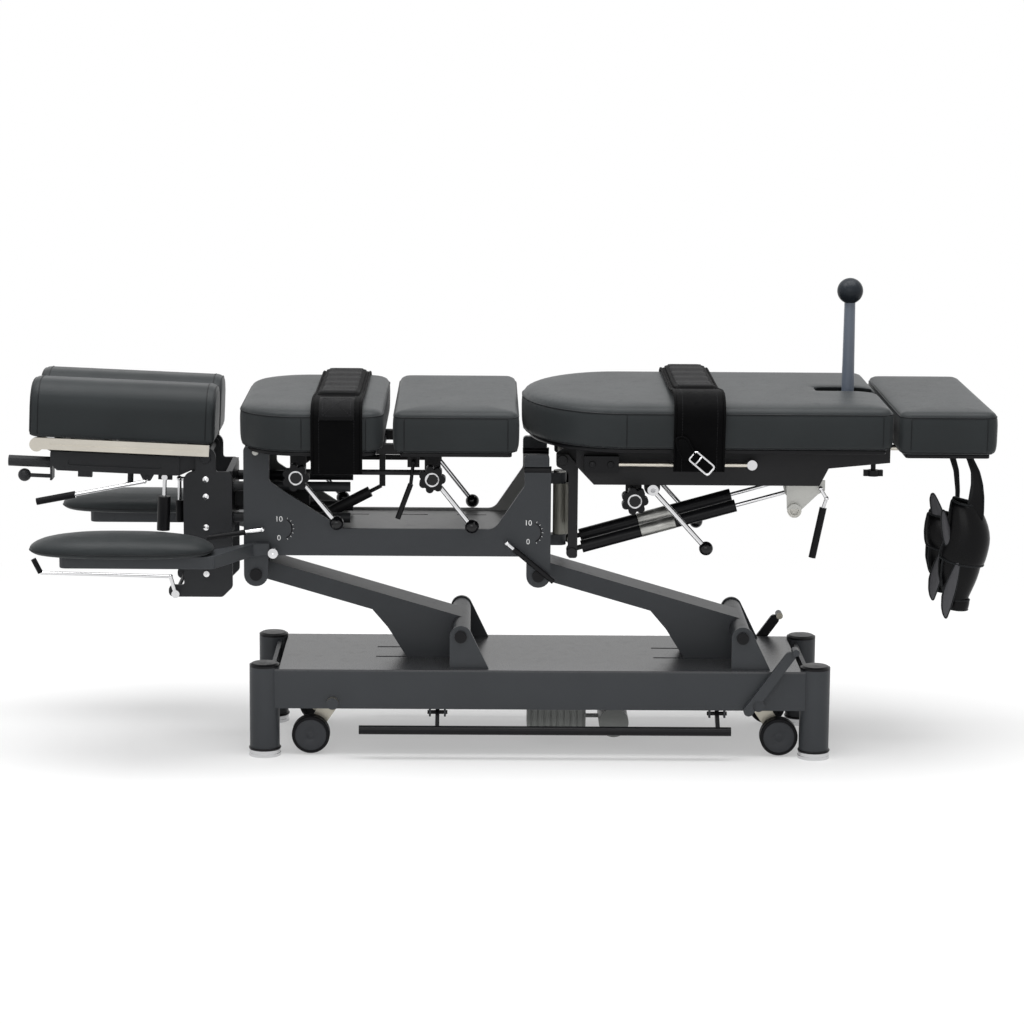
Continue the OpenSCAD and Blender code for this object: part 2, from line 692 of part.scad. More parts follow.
// A lever: a rod with a round knuckle at its shaft and a grip over its end
knuckle_share = 1.2;
module grip_lever(p, q, rod_r, grip_r, grip_share) {
  rod_between(p, q + (p - q) * grip_share / 2, rod_r);
  rod_between(q + (p - q) * grip_share, q, grip_r);
  ball_at(p, knuckle_share * rod_r);
}
side_lever_y = 138;
side_lever_r = 4.5;
side_grip_r = 5.4;
module side_lever(x, z, reach_x, reach_z, grip_share) {
  p = [x, -side_lever_y, z];
  q = [x + reach_x, -side_lever_y, z + reach_z];
  color(black_plastic) at_rest() {
    pin_y(x, z, lever_shaft_r, -side_lever_y, -plate_in_y);
    grip_lever(p, q, side_lever_r, side_grip_r, grip_share);
  }
}
head_lever_reach = [-110, -17];
leg_lever_reach = [93, -77];
module head_release_lever() {
  side_lever(plate_x0 + head_lever_dx, head_lever_z, head_lever_reach[0],
    head_lever_reach[1], 0.7);
}
module leg_release_lever() {
  side_lever(plate_x1 - leg_lever_dx, leg_lever_z, leg_lever_reach[0],
    leg_lever_reach[1], 0.86);
}

// Beams that carry the chest and pelvic sections, with their shaft hangers and damper
beam_y = 95;
beam_w = 20;
beam_h = 20;
beam_end_x = -75;
chest_shaft_x = -485;
chest_shaft_z = 569;
pelvic_shaft_x = -217;
pelvic_shaft_z = 567;
lever_tube_r = 8;
hang_r = 16;
hang_t = 6;
rail_tube_r = 5.5;
cross_xs = [-320, -96];
cross_w = 12;
damper_r = 11;
damper_foot = [-425, 0, 470];
damper_head = [-345, 0, 512];
damper_top = [-322, 0, 524];
damper_rod_r = 4;
release_x = -255;
release_z = 592;
thin_r = 4;
// A round ended plate that hangs from height z1 and holds a shaft
module hanger(x, z, y, z1, bore_r) {
  difference() {
    union() {
      block(x - hang_r, x + hang_r, y - hang_t / 2, y + hang_t / 2, z, z1);
      pin_y(x, z, hang_r, y - hang_t / 2, y + hang_t / 2);
    }
    bore_y(x, z, bore_r + run_gap);
  }
}
module section_supports() {
  color(frame_blue) at_rest() {
    for (sy = both) {
      block(head_end_x + end_plate_t, beam_end_x, sy * beam_y - beam_w / 2,
        sy * beam_y + beam_w / 2, beam_z1 - beam_h, beam_z1);
      for (p = [[chest_shaft_x, chest_shaft_z], [pelvic_shaft_x, pelvic_shaft_z]])
        hanger(p[0], p[1], sy * beam_y, beam_z1 - beam_h, lever_tube_r);
      pin_x(sy * beam_y, pelvic_shaft_z, rail_tube_r, chest_shaft_x + hang_r,
        pelvic_shaft_x - hang_r);
    }
    for (x = cross_xs) block(x - cross_w / 2, x + cross_w / 2, -beam_y + beam_w / 2,
      beam_y - beam_w / 2, beam_z1 - beam_h, beam_z1 - beam_h / 2);
    difference() {
      block(release_x - cross_w, release_x + cross_w, -beam_y - beam_w / 2 - hang_t,
        -beam_y - beam_w / 2, release_z - cross_w, beam_z1 - beam_h / 4);
      bore_y(release_x, release_z, thin_r + run_gap);
    }
  }
  drop_damper();
}
module drop_damper() {
  color(black_plastic) at_rest() {
    rod_between(damper_foot, damper_head, damper_r);
    rod_between(damper_head, damper_top, damper_rod_r);
    block(cross_xs[0] - cross_w / 2, cross_xs[0] + cross_w / 2, -cross_w / 2, cross_w / 2,
      damper_top[2], beam_z1 - beam_h);
    block(damper_foot[0] - cross_w, damper_foot[0] + cross_w / 2, -cross_w, cross_w,
      mid_top_z - pan_drop, damper_foot[2] - damper_r / 2);
  }
}
release_reach = [[-5, -44], [-26, -70]];
release_y = beam_y + beam_w / 2 + hang_t + 10;
module pelvic_release_lever() {
  p = [release_x, -release_y, release_z];
  m = p + [release_reach[0][0], 0, release_reach[0][1]];
  q = m + [release_reach[1][0], 0, release_reach[1][1]];
  color(black_plastic) at_rest() {
    pin_y(release_x, release_z, thin_r, -release_y, -beam_y - beam_w / 2);
    rod_between(p, m, 0.9 * thin_r);
    ball_at(p, knuckle_share * thin_r);
    rod_between(m, q, side_grip_r);
  }
}
// Star knob with seven lobes, a recessed face and a stem
knob_r = 21;
knob_lobe_r = 8;
knob_lobes = 7;
knob_y = 158;
knob_t = 28;
knob_stem_r = 5;
knob_stem_l = 40;
knob_face_r = 14;
knob_face_h = 3;
module star_knob(x, z, y_face) {
  color(black_plastic) at_rest() {
    difference() {
      union() {
        translate([x, -y_face, z]) rotate([90, 0, 0]) linear_extrude(knob_t) {
          circle(r = knob_r);
          for (i = [0:knob_lobes - 1]) rotate(i * 360 / knob_lobes)
            translate([knob_r - knob_lobe_r / 4, 0]) circle(r = knob_lobe_r);
        }
        pin_y(x, z, knob_stem_r, -y_face, -y_face + knob_stem_l);
      }
      pin_y(x, z, knob_face_r, -y_face - knob_t - over, -y_face - knob_t + knob_face_h);
    }
    pin_y(x, z, knob_face_r * 0.8, -y_face - knob_t + over / 2, -y_face - knob_t + knob_face_h);
  }
}
module chest_knob() star_knob(chest_shaft_x, chest_shaft_z, knob_y);
module pelvic_knob() star_knob(pelvic_shaft_x, pelvic_shaft_z, knob_y);
// Cocking lever: a cross shaft with a ball ended rod on each side
cock_y = 148;
cock_hub_r = 11;
cock_hub_t = 10;
cock_rod_r = 5;
cock_ball_r = 14;
module cocking_lever(x, z, reach, half) {
  tip = reach * (1 - cock_ball_r * 0.9 / norm(reach));
  color(bright_chrome) at_rest() {
    difference() {
      union() {
        pin_y(x, z, lever_tube_r, -half - cock_hub_t / 2, half + cock_hub_t / 2);
        for (sy = both) {
          pin_y(x, z, cock_hub_r, sy * half - cock_hub_t / 2,
            sy * half + cock_hub_t / 2);
          cock_rod(x, z, tip, sy * half);
        }
      }
      pin_y(x, z, knob_stem_r + run_gap, -half - cock_hub_t, -half + knob_stem_l);
    }
    for (sy = both) difference() {
      ball_at([x + reach[0], sy * half, z + reach[1]], cock_ball_r);
      cock_rod(x, z, tip, sy * half);
    }
  }
}
module cock_rod(x, z, tip, y) rod_between([x, y, z], [x + tip[0], y, z + tip[1]], cock_rod_r);
chest_reach = [79, -96];
pelvic_reach = [79, -99];
module chest_cocking_lever() cocking_lever(chest_shaft_x, chest_shaft_z, chest_reach, cock_y);
module pelvic_cocking_lever() cocking_lever(pelvic_shaft_x, pelvic_shaft_z, pelvic_reach, cock_y);

// Body cushions on their boards
chest_x0 = -595;
chest_round = 120;
small_round = 22;
chest_foot_round = 45;
board_inset = 14;
chest_outline = rounded(box_outline(chest_x0, chest_x0 + chest_len, cushion_w / 2),
  [chest_round, chest_foot_round, chest_foot_round, chest_round], 8);
pelvic_x1 = -47;
pelvic_outline = rounded(box_outline(pelvic_x1 - pelvic_len, pelvic_x1, cushion_w / 2),
  [small_round, small_round, small_round, small_round], 6);
leg_x0 = -39;
leg_raise = 10;
leg_nose = 200;
nose_steps = 26;
leg_outline = concat(
  rounded([[leg_x0 + leg_nose, -cushion_w / 2], [leg_x0 + leg_len, -cushion_w / 2],
    [leg_x0 + leg_len, cushion_w / 2], [leg_x0 + leg_nose, cushion_w / 2]],
    [0, small_round, small_round, 0]),
  [for (i = [1:nose_steps - 1]) let (a = 90 + 180 * i / nose_steps)
    [leg_x0 + leg_nose * (1 + cos(a)), cushion_w / 2 * sin(a)]]);
section_gap = 10;
foot_x0 = leg_x0 + leg_len + section_gap;
foot_top = 718;
foot_low = 636;
foot_outline = rounded(box_outline(foot_x0, foot_x0 + foot_len, cushion_w / 2),
  [small_round, small_round, small_round, small_round], 6);
module board(outline, z1) {
  translate([0, 0, z1 - board_t]) linear_extrude(board_t) polygon(inset(outline, board_inset));
}
module chest_cushion() {
  color(leather_grey) at_rest() {
    padded(chest_outline, cushion_low_z, top_z, crown_h);
    board(chest_outline, cushion_low_z);
  }
}
module pelvic_cushion() {
  color(leather_grey) at_rest() {
    padded(pelvic_outline, cushion_low_z, top_z, crown_h);
    board(pelvic_outline, cushion_low_z);
  }
}
notch_w = 76;
notch_l = 132;
notch_r = 16;
leg_low_z = cushion_low_z + leg_raise;
module notch(z0, z1) {
  x1 = leg_x0 + leg_len + over;
  translate([0, 0, z0]) linear_extrude(z1 - z0) polygon(rounded(
    box_outline(x1 - notch_l, x1, notch_w / 2), [notch_r, 0, 0, notch_r]));
}
module leg_cushion() {
  color(leather_grey) at_rest() difference() {
    union() {
      padded(leg_outline, leg_low_z, top_z + leg_raise, crown_h);
      board(leg_outline, leg_low_z);
    }
    notch(leg_low_z - 2 * board_t, top_z + leg_raise + 2 * crown_h);
  }
}
module foot_cushion() {
  color(leather_grey) at_rest() {
    padded(foot_outline, foot_low, foot_top, crown_h / 2);
    board(foot_outline, foot_low);
  }
}
// Straps: a webbing band over the cushion, close to it all the way round
strap_t = 3.5;
strap_gap = 0.6;
strap_w = 95;
chest_strap_x = -448;
leg_strap_x = 254;
chest_strap_low = 593;
leg_strap_low = 602;
function strap_side(z_top, z_low, d) = let (h = cushion_w / 2, e = h - edge_inset) concat(
  [[h + d, z_low], [h + d, z_top - side_h], [h - side_inset + d, z_top - seam_drop],
  [h - seam_inset + d * 0.9, z_top - edge_drop + d / 2], [e + d * 0.4, z_top + d]],
  [for (s = crown_rings) [e * (1 - s[0]), z_top + crown_h * s[1] + d]]);
function mirrored(pts) = [for (i = [len(pts) - 1:-1:0]) [-pts[i][0], pts[i][1]]];
module strap(x0, z_top, z_low) {
  inner = strap_side(z_top, z_low, strap_gap);
  outer = strap_side(z_top, z_low, strap_gap + strap_t);
  translate([x0, 0, 0]) rotate([90, 0, 90]) linear_extrude(strap_w)
    polygon(concat(outer, mirrored(outer), [for (q = inner) [-q[0], q[1]]],
      [for (q = mirrored(inner)) [-q[0], q[1]]]));
}
module chest_strap() color(black_plastic) at_rest() strap(chest_strap_x, top_z, chest_strap_low);
module leg_strap() color(black_plastic) at_rest() strap(leg_strap_x, top_z + leg_raise, leg_strap_low);

// Leg section: swivel post, tray on a flexion hinge, gas springs and levers
flex_x = 41.5;
flex_z = 594;
flex_pin_r = 6;
yoke_y = 96;
yoke_t = 8;
yoke_x0 = 54;
yoke_w = 19;
spring_y = 65;
spring_x = 58.7;
spring_z = 407;
spring_pin_r = 5;
module leg_swivel_post() {
  x1 = yoke_x0 + yoke_w;
  r = yoke_w * 0.58;
  lug = 2 * flex_pin_r;
  outline = rounded([[yoke_x0, spring_z - r], [x1, spring_z - r], [x1, flex_z - lug],
    [flex_x + lug, flex_z + lug], [flex_x - lug, flex_z + lug],
    [flex_x - lug, flex_z - lug], [yoke_x0, flex_z - 2 * lug]],
    [r / 2, r / 2, lug, lug / 2, lug / 2, lug / 2, lug]);
  color(frame_blue) at_rest() {
    for (sy = both) difference() {
      slab_y(outline, sy * yoke_y - yoke_t / 2, yoke_t);
      bore_y(flex_x, flex_z, flex_pin_r);
      bore_y(spring_x + flex_pin_r / 2, spring_z, spring_pin_r);
    }
    block(yoke_x0 + flex_pin_r, x1 - flex_pin_r / 2, -yoke_y + yoke_t / 2,
      yoke_y - yoke_t / 2, barrel_z0 + yoke_w, barrel_z1);
    difference() {
      union() {
        pin_z(swivel_x, 0, barrel_r, barrel_z0, barrel_z1);
        block(swivel_x, yoke_x0 + flex_pin_r, -barrel_r / 2, barrel_r / 2, barrel_z0,
          barrel_z1);
      }
      pin_z(swivel_x, 0, swivel_pin_r + run_gap, barrel_z0 - over, barrel_z1 + over);
    }
    for (p = [[flex_x, flex_z, flex_pin_r],
      [spring_x + flex_pin_r / 2, spring_z, spring_pin_r]]) {
      pin_y(p[0], p[1], p[2], -yoke_y - yoke_t / 2, yoke_y + yoke_t / 2);
      for (sy = both) big_bolt(p[0], sy * (yoke_y + yoke_t / 2), p[1], sy);
    }
  }
}
tray_t = 4;
tray_x0 = 67;
bend_w = 35;
tray_x1 = 565;
tray_end_x = leg_x0 + leg_len + 1.5 * tray_t;
tray_low_z = 557;
tray_end_z = 604;
tray_y = 168;
rib_y = 82;
rib_t = 8;
leg_board_z = leg_low_z - board_t;
knob_hub_x = 182;
knob_hub_z = 529;
leg_hub_x = 220;
leg_hub_z = 544;
leg_hang_y = 140;
module leg_tray() {
  side = [[tray_x0, flex_z], [tray_x0 + bend_w, tray_low_z],
    [tray_x1 - bend_w / 2, tray_low_z], [tray_x1, tray_low_z + bend_w],
    [tray_end_x, tray_end_z], [tray_end_x, leg_board_z], [tray_x0, leg_board_z]];
  rib = rounded([[flex_x - 2 * flex_pin_r, flex_z - 2 * flex_pin_r],
    [tray_x0 + bend_w, flex_z - 2 * flex_pin_r],
    [tray_x0 + bend_w, tray_low_z + tray_t], [tray_x1 - bend_w, tray_low_z + tray_t],
    [tray_x1, tray_end_z], [tray_end_x, tray_end_z + tray_t],
    [tray_end_x, leg_board_z], [tray_x0, leg_board_z],
    [flex_x - 2 * flex_pin_r, flex_z + 2 * flex_pin_r]],
    [flex_pin_r, 0, 0, 0, 0, 0, 0, 0, flex_pin_r]);
  color(frame_blue) at_rest() {
    for (sy = both) {
      slab_y(side, sy * tray_y - tray_t / 2, tray_t);
      difference() {
        slab_y(rib, sy * rib_y - rib_t / 2, rib_t);
        bore_y(flex_x, flex_z, flex_pin_r + run_gap);
      }
    }
    block(tray_x0 + bend_w, tray_x1 - bend_w, -tray_y + tray_t / 2,
      tray_y - tray_t / 2, tray_low_z, tray_low_z + tray_t);
    hanger(knob_hub_x, knob_hub_z, -leg_hang_y, tray_low_z, knob_stem_r);
    for (sy = both)
      hanger(leg_hub_x, leg_hub_z, sy * (leg_hang_y - 4 * hang_t), tray_low_z, lever_tube_r);
    difference() {
      union() {
        block(handle_x - socket_r, handle_x + socket_r, rib_t / 2 - rib_y,
          rib_y - rib_t / 2, handle_low_z - tray_t, handle_low_z);
        pin_z(handle_x, 0, socket_r, handle_low_z - tray_t, leg_board_z);
      }
      pin_z(handle_x, 0, handle_d / 2 + run_gap, handle_low_z, leg_board_z + over);
    }
    difference() {
      block(clamp_x - 2 * clamp_r, tray_end_x, tray_t / 2 - tray_y, -rib_y - rib_t / 2,
        tray_end_z, tray_end_z + tray_t);
      pin_z(clamp_x, -clamp_y, knob_stem_r + run_gap, tray_end_z - over, leg_board_z);
    }
    for (sy = both) difference() {
      side_block(sy, tray_x1, tray_x1 + 2 * bend_w, slide_y - slide_r - tray_t,
        rib_y - rib_t / 2, slide_z - slide_r - tray_t, leg_board_z);
      pin_x(sy * slide_y, slide_z, slide_r + run_gap, tray_x1 - over, tray_end_x);
    }
  }
}
spring_end_x = 498.7;
spring_end_z = 529;
spring_end_r = 3.5;
strap_rail_y = 187;
strap_rail_z = 601;
strap_rail_r = 5;
strap_rail_x0 = 150;
strap_rail_x1 = 402;
rail_box_x0 = 82;
rail_box_h = 32;
eye_ring_r = 10;
bracket_y = 102;
bracket_t = 5;
bracket_x0 = 489;
bracket_x1 = 566;
roller_x = 505;
roller_z = 497;
roller_r = 14;
roller_w = 10;
release_hub_x = 556;
release_hub_z = 543;
module leg_fittings() {
  color(zinc) at_rest() {
    for (sy = both) {
      for (side = both) difference() {
        y = sy * spring_y + side * (spring_eye_w / 2 + hang_t);
        slab_y(rounded([[spring_end_x - hang_r, tray_low_z],
          [spring_end_x - hang_r / 2, spring_end_z - hang_r / 2],
          [spring_end_x + hang_r / 2, spring_end_z - hang_r / 2],
          [spring_end_x + hang_r, tray_low_z]], [0, hang_r / 3, hang_r / 3, 0]),
          y - hang_t / 4, hang_t / 2);
        bore_y(spring_end_x, spring_end_z, spring_end_r);
      }
      pin_y(spring_end_x, spring_end_z, spring_end_r,
        sy * spring_y - spring_eye_w / 2 - hang_t * 1.25,
        sy * spring_y + spring_eye_w / 2 + hang_t * 1.25);
      side_block(sy, rail_box_x0, strap_rail_x0, tray_y + tray_t / 2, strap_rail_y
        + strap_rail_r, strap_rail_z - rail_box_h / 2, strap_rail_z + rail_box_h / 2);
      pin_x(sy * strap_rail_y, strap_rail_z, strap_rail_r, strap_rail_x0, strap_rail_x1);
      for (x = [rail_box_x0 + rail_box_h / 2, strap_rail_x0 - rail_box_h / 2])
        dome_bolt(x, sy * (strap_rail_y + strap_rail_r), strap_rail_z, sy);
      difference() {
        side_pin(sy, strap_rail_x1 + eye_ring_r, strap_rail_z, eye_ring_r,
          tray_y + tray_t / 2, strap_rail_y + strap_rail_r);
        pin_x(sy * strap_rail_y, strap_rail_z, strap_rail_r, strap_rail_x0,
          strap_rail_x1);
      }
    }
    difference() {
      slab_y(rounded([[bracket_x0, release_hub_z], [roller_x - roller_r, roller_z],
        [roller_x, roller_z - roller_r], [roller_x + roller_r, roller_z],
        [bracket_x1 - roller_r, release_hub_z - roller_r],
        [bracket_x1, release_hub_z - roller_r / 2], [bracket_x1, tray_low_z],
        [bracket_x0, tray_low_z]], [3, 6, 8, 6, 6, 5, 0, 0]),
        -bracket_y - bracket_t / 2, bracket_t);
      bore_y(release_hub_x, release_hub_z, thin_r + run_gap);
      bore_y(roller_x, roller_z, thin_r);
    }
    difference() {
      pin_y(roller_x, roller_z, roller_r, -bracket_y - bracket_t / 2 - roller_w,
        -bracket_y - bracket_t / 2);
      pin_y(roller_x, roller_z, roller_r * 0.6, -carriage_w, -bracket_y - bracket_t / 2
        - roller_w + bracket_t / 2);
    }
    pin_y(roller_x, roller_z, thin_r, -bracket_y - bracket_t / 2, -bracket_y
      + bracket_t / 2);
  }
}
leg_knob_face = 172;
module leg_knob() star_knob(knob_hub_x, knob_hub_z, leg_knob_face);
leg_reach = [107, -117];
leg_cock_y = 152;
module leg_cocking_lever() cocking_lever(leg_hub_x, leg_hub_z, leg_reach, leg_cock_y);
spring_tube_r = 12.5;
spring_rod_r = 4;
spring_eye_w = 12;
spring_eye_r = 10;
tube_start = 22;
tube_end = 342;
rod_start = 262;
spring_px = spring_x + flex_pin_r / 2;
spring_angle = atan2(spring_end_z - spring_z, spring_end_x - spring_px);
spring_len = norm([spring_end_z - spring_z, spring_end_x - spring_px]);
// Lays a gas spring piece along the line between its two pivots
module along_spring(sy) {
  translate([spring_px, sy * spring_y, spring_z]) rotate([0, -spring_angle, 0]) children();
}
module gas_spring_tubes() {
  color(black_plastic) at_rest() for (sy = both) along_spring(sy) difference() {
    union() {
      pin_y(0, 0, spring_eye_r, -spring_eye_w / 2, spring_eye_w / 2);
      pin_x(0, 0, spring_pin_r, spring_eye_r / 2, tube_start);
      pin_x(0, 0, spring_tube_r, tube_start, tube_end);
    }
    pin_y(0, 0, spring_pin_r + run_gap, -spring_eye_w, spring_eye_w);
    pin_x(0, 0, spring_rod_r + run_gap, tube_start + spring_tube_r, tube_end + over);
  }
}
module gas_spring_rods() {
  color(bright_chrome) at_rest() for (sy = both) along_spring(sy) difference() {
    union() {
      pin_y(spring_len, 0, spring_eye_r, -spring_eye_w / 2, spring_eye_w / 2);
      pin_x(0, 0, spring_rod_r, rod_start, spring_len - spring_eye_r / 2);
    }
    pin_y(spring_len, 0, 2 * spring_end_r, -spring_eye_w, spring_eye_w);
  }
}
release_y2 = 116;
handle_bend = [12, -20];
handle_drop = [-6, -18];
handle_grip = [-20, -102];
module leg_release_handle() {
  p = [release_hub_x, -release_y2, release_hub_z];
  m = p + [handle_bend[0], 0, handle_bend[1]];
  n = m + [handle_drop[0], 0, handle_drop[1]];
  q = n + [handle_grip[0], 0, handle_grip[1]];
  color(bright_chrome) at_rest() {
    pin_y(release_hub_x, release_hub_z, thin_r, -release_y2, -bracket_y
      + bracket_t / 2);
    rod_between(p, m, 0.9 * thin_r);
    for (k = [p, m]) ball_at(k, knuckle_share * thin_r);
    rod_between(m, n, 0.9 * thin_r);
    rod_between(n, q, 1.8 * thin_r);
  }
}
handle_in = 62;
handle_x = leg_x0 + leg_len - handle_in;
handle_low_z = 606;
handle_ball_z = 926;
handle_top_r = 11;
socket_r = 22;
module flexion_handle() {
  low = handle_low_z;
  top = handle_ball_z - handle_ball_d * 0.4;
  color(slate_blue) at_rest() translate([handle_x, 0, 0]) union() {
    translate([0, 0, low]) cylinder(r = handle_d / 2, h = leg_board_z - low);
    translate([0, 0, leg_board_z])
      cylinder(r1 = handle_d / 2, r2 = handle_top_r, h = top - leg_board_z);
    translate([0, 0, handle_ball_z]) sphere(r = handle_ball_d / 2);
  }
}
slide_y = 60;
slide_r = 6;
slide_z = 618;
slide_x0 = 470;
clamp_knob_z = 566;
clamp_r = 12;
clamp_x = tray_end_x - 2 * clamp_r;
module foot_slide_bars() {
  color(warm_nickel) at_rest() {
    for (sy = both) pin_x(sy * slide_y, slide_z, slide_r, slide_x0, foot_x0 + foot_len * 0.8);
    difference() {
      block(foot_x0 + foot_len * 0.2, foot_x0 + foot_len * 0.8, -slide_y - 2 * slide_r,
        slide_y + 2 * slide_r, slide_z - slide_r - tray_t, foot_low - board_t);
      for (sy = both) pin_x(sy * slide_y, slide_z, slide_r, slide_x0, foot_x0 + foot_len);
    }
    for (i = [0, 1]) side_block(both[i], boot_xs[i] - boot_strap_w / 2,
      boot_xs[i] + boot_strap_w / 2, slide_y + 2 * slide_r, boot_y + boot_strap_w / 2,
      foot_low - board_t - tray_t, foot_low - board_t);
  }
}
clamp_y = 96;
module foot_clamp_knob() {
  color(black_plastic) at_rest() translate([clamp_x, -clamp_y, 0]) {
    pin_z(0, 0, knob_stem_r, clamp_knob_z + clamp_r, tray_end_z + tray_t);
    translate([0, 0, clamp_knob_z]) linear_extrude(clamp_r) {
      circle(r = clamp_r);
      square([3.2 * clamp_r, clamp_r * 0.9], center = true);
    }
  }
}
// Ankle boots: open leather cuffs that hang on straps under the foot cushion
boot_in_xs = [44, 60];
boot_xs = [for (d = boot_in_xs) foot_x0 + foot_len - d];
boot_y = 90;
boot_strap_w = 24;
boot_strap_t = 3;
boot_top_z = 540;
boot_wall = 4;
boot_loop_r = 5;
boot_rs = [24, 36, 43, 44, 40];
boot_h_shares = [0, 0.22, 0.5, 0.75, 1];
boot_low_z = 308;
module boot(sy, x) {
  h = boot_top_z - boot_low_z;
  outer = [for (i = [0:4]) [boot_rs[i], boot_h_shares[i] * h]];
  inner = [for (i = [4:-1:0]) [boot_rs[i] - boot_wall, boot_h_shares[i] * h]];
  hang_z = foot_low - board_t - tray_t - pass_gap;
  color(black_plastic) at_rest() translate([x, sy * boot_y, 0]) {
    translate([0, 0, boot_low_z]) rotate_extrude() polygon(concat(outer, inner));
    for (sx = both) slab_y([for (p = [[1, 0], [1, 1], [0, 1], [0, 0]])
      [sx * (p[1] * boot_loop_r + (1 - p[1]) * (boot_rs[4] - boot_wall / 8)
        - p[0] * boot_strap_t),
      boot_top_z + p[1] * (hang_z - boot_loop_r - boot_top_z)]],
      -boot_strap_w / 2, boot_strap_w);
    pin_y(0, hang_z - boot_loop_r, boot_loop_r, -boot_strap_w * 0.6, boot_strap_w * 0.6);
  }
}
module near_boot() boot(-1, boot_xs[0]);
module far_boot() boot(1, boot_xs[1]);

// Head section: carrier on guide shafts, tilting tray, drop frame and levers
tilt_x = -669;
tilt_z = 594;
tilt_pin_r = 7;
head_angle = 2.3;
carrier_x0 = -714;
carrier_x1 = -617;
carrier_z0 = 312;
carrier_z1 = 566;
carrier_y = 94;
carrier_t = 8;
carrier_lug = 20;
carrier_toe = 31;
guide_len = 235;
lock_len = 150;
bolt_zs = [551, 516, 454, 359];
toe_x = carrier_x0 - carrier_toe / 2;
toe_z = carrier_z0 + carrier_lug / 2;
module head_carrier() {
  r = carrier_lug;
  outline = rounded([[carrier_x0 - carrier_toe, carrier_z0], [carrier_x1 - r, carrier_z0],
    [carrier_x1, carrier_z0 + r], [carrier_x1, carrier_z1], [tilt_x + r, carrier_z1],
    [tilt_x + r, tilt_z + r], [tilt_x - r, tilt_z + r], [tilt_x - r, carrier_z1],
    [carrier_x0, carrier_z1], [carrier_x0, carrier_z0 + 1.2 * r],
    [carrier_x0 - carrier_toe, carrier_z0 + 1.2 * r]],
    [r / 2, r / 2, r / 2, r / 2, r / 4, r * 0.9, r * 0.9, r / 4, r, r / 4, r / 2]);
  color(frame_blue) at_rest() {
    for (sy = both) difference() {
      slab_y(outline, sy * carrier_y - carrier_t / 2, carrier_t);
      bore_y(tilt_x, tilt_z, tilt_pin_r);
      bore_y(toe_x, toe_z, thin_r);
    }
    pin_y(tilt_x, tilt_z, tilt_pin_r, -carrier_y - carrier_t / 2, carrier_y + carrier_t / 2);
    pin_y(toe_x, toe_z, thin_r, -carrier_y - 2 * carrier_t, carrier_y + carrier_t / 2);
    for (sy = both) {
      big_bolt(tilt_x, sy * (carrier_y + carrier_t / 2), tilt_z, sy);
      for (z = bolt_zs) dome_bolt(tilt_x, sy * (carrier_y + carrier_t / 2), z, sy);
      for (z = [guide_low_z, guide_high_z])
        pin_x(sy * guide_y, z, guide_r, carrier_x1, carrier_x1 + guide_len);
    }
    difference() {
      block(carrier_x1 - end_plate_t, carrier_x1, -carrier_y + carrier_t / 2,
        carrier_y - carrier_t / 2, guide_low_z - carrier_toe, carrier_z1);
      pin_x(-crank_y, crank_z, thin_r + run_gap, carrier_x0, carrier_x1);
    }
    block(carrier_x1, carrier_x1 + lock_len, -lock_bar / 2, lock_bar / 2,
      lock_bar_z - lock_bar / 2, lock_bar_z + lock_bar / 2);
  }
}
module in_head() translate([tilt_x, 0, tilt_z]) rotate([0, head_angle, 0]) children();
head_x0 = -310;
head_x1 = -52;
head_low = -40;
head_top = -2;
head_y = 87;
head_t = 4;
slot_h = 12;
pull_x = -395;
pull_z = -28;
pull_r = 11;
ball_x = -363;
ball_z = -56;
ball_r = 13;
drop_x = -332;
drop_z = 17;
drop_pin_r = 6;
drop_lug_r = 9.6;
lug_r = 14;
cock_x = -116;
cock_z = -46;
lock_x = -82;
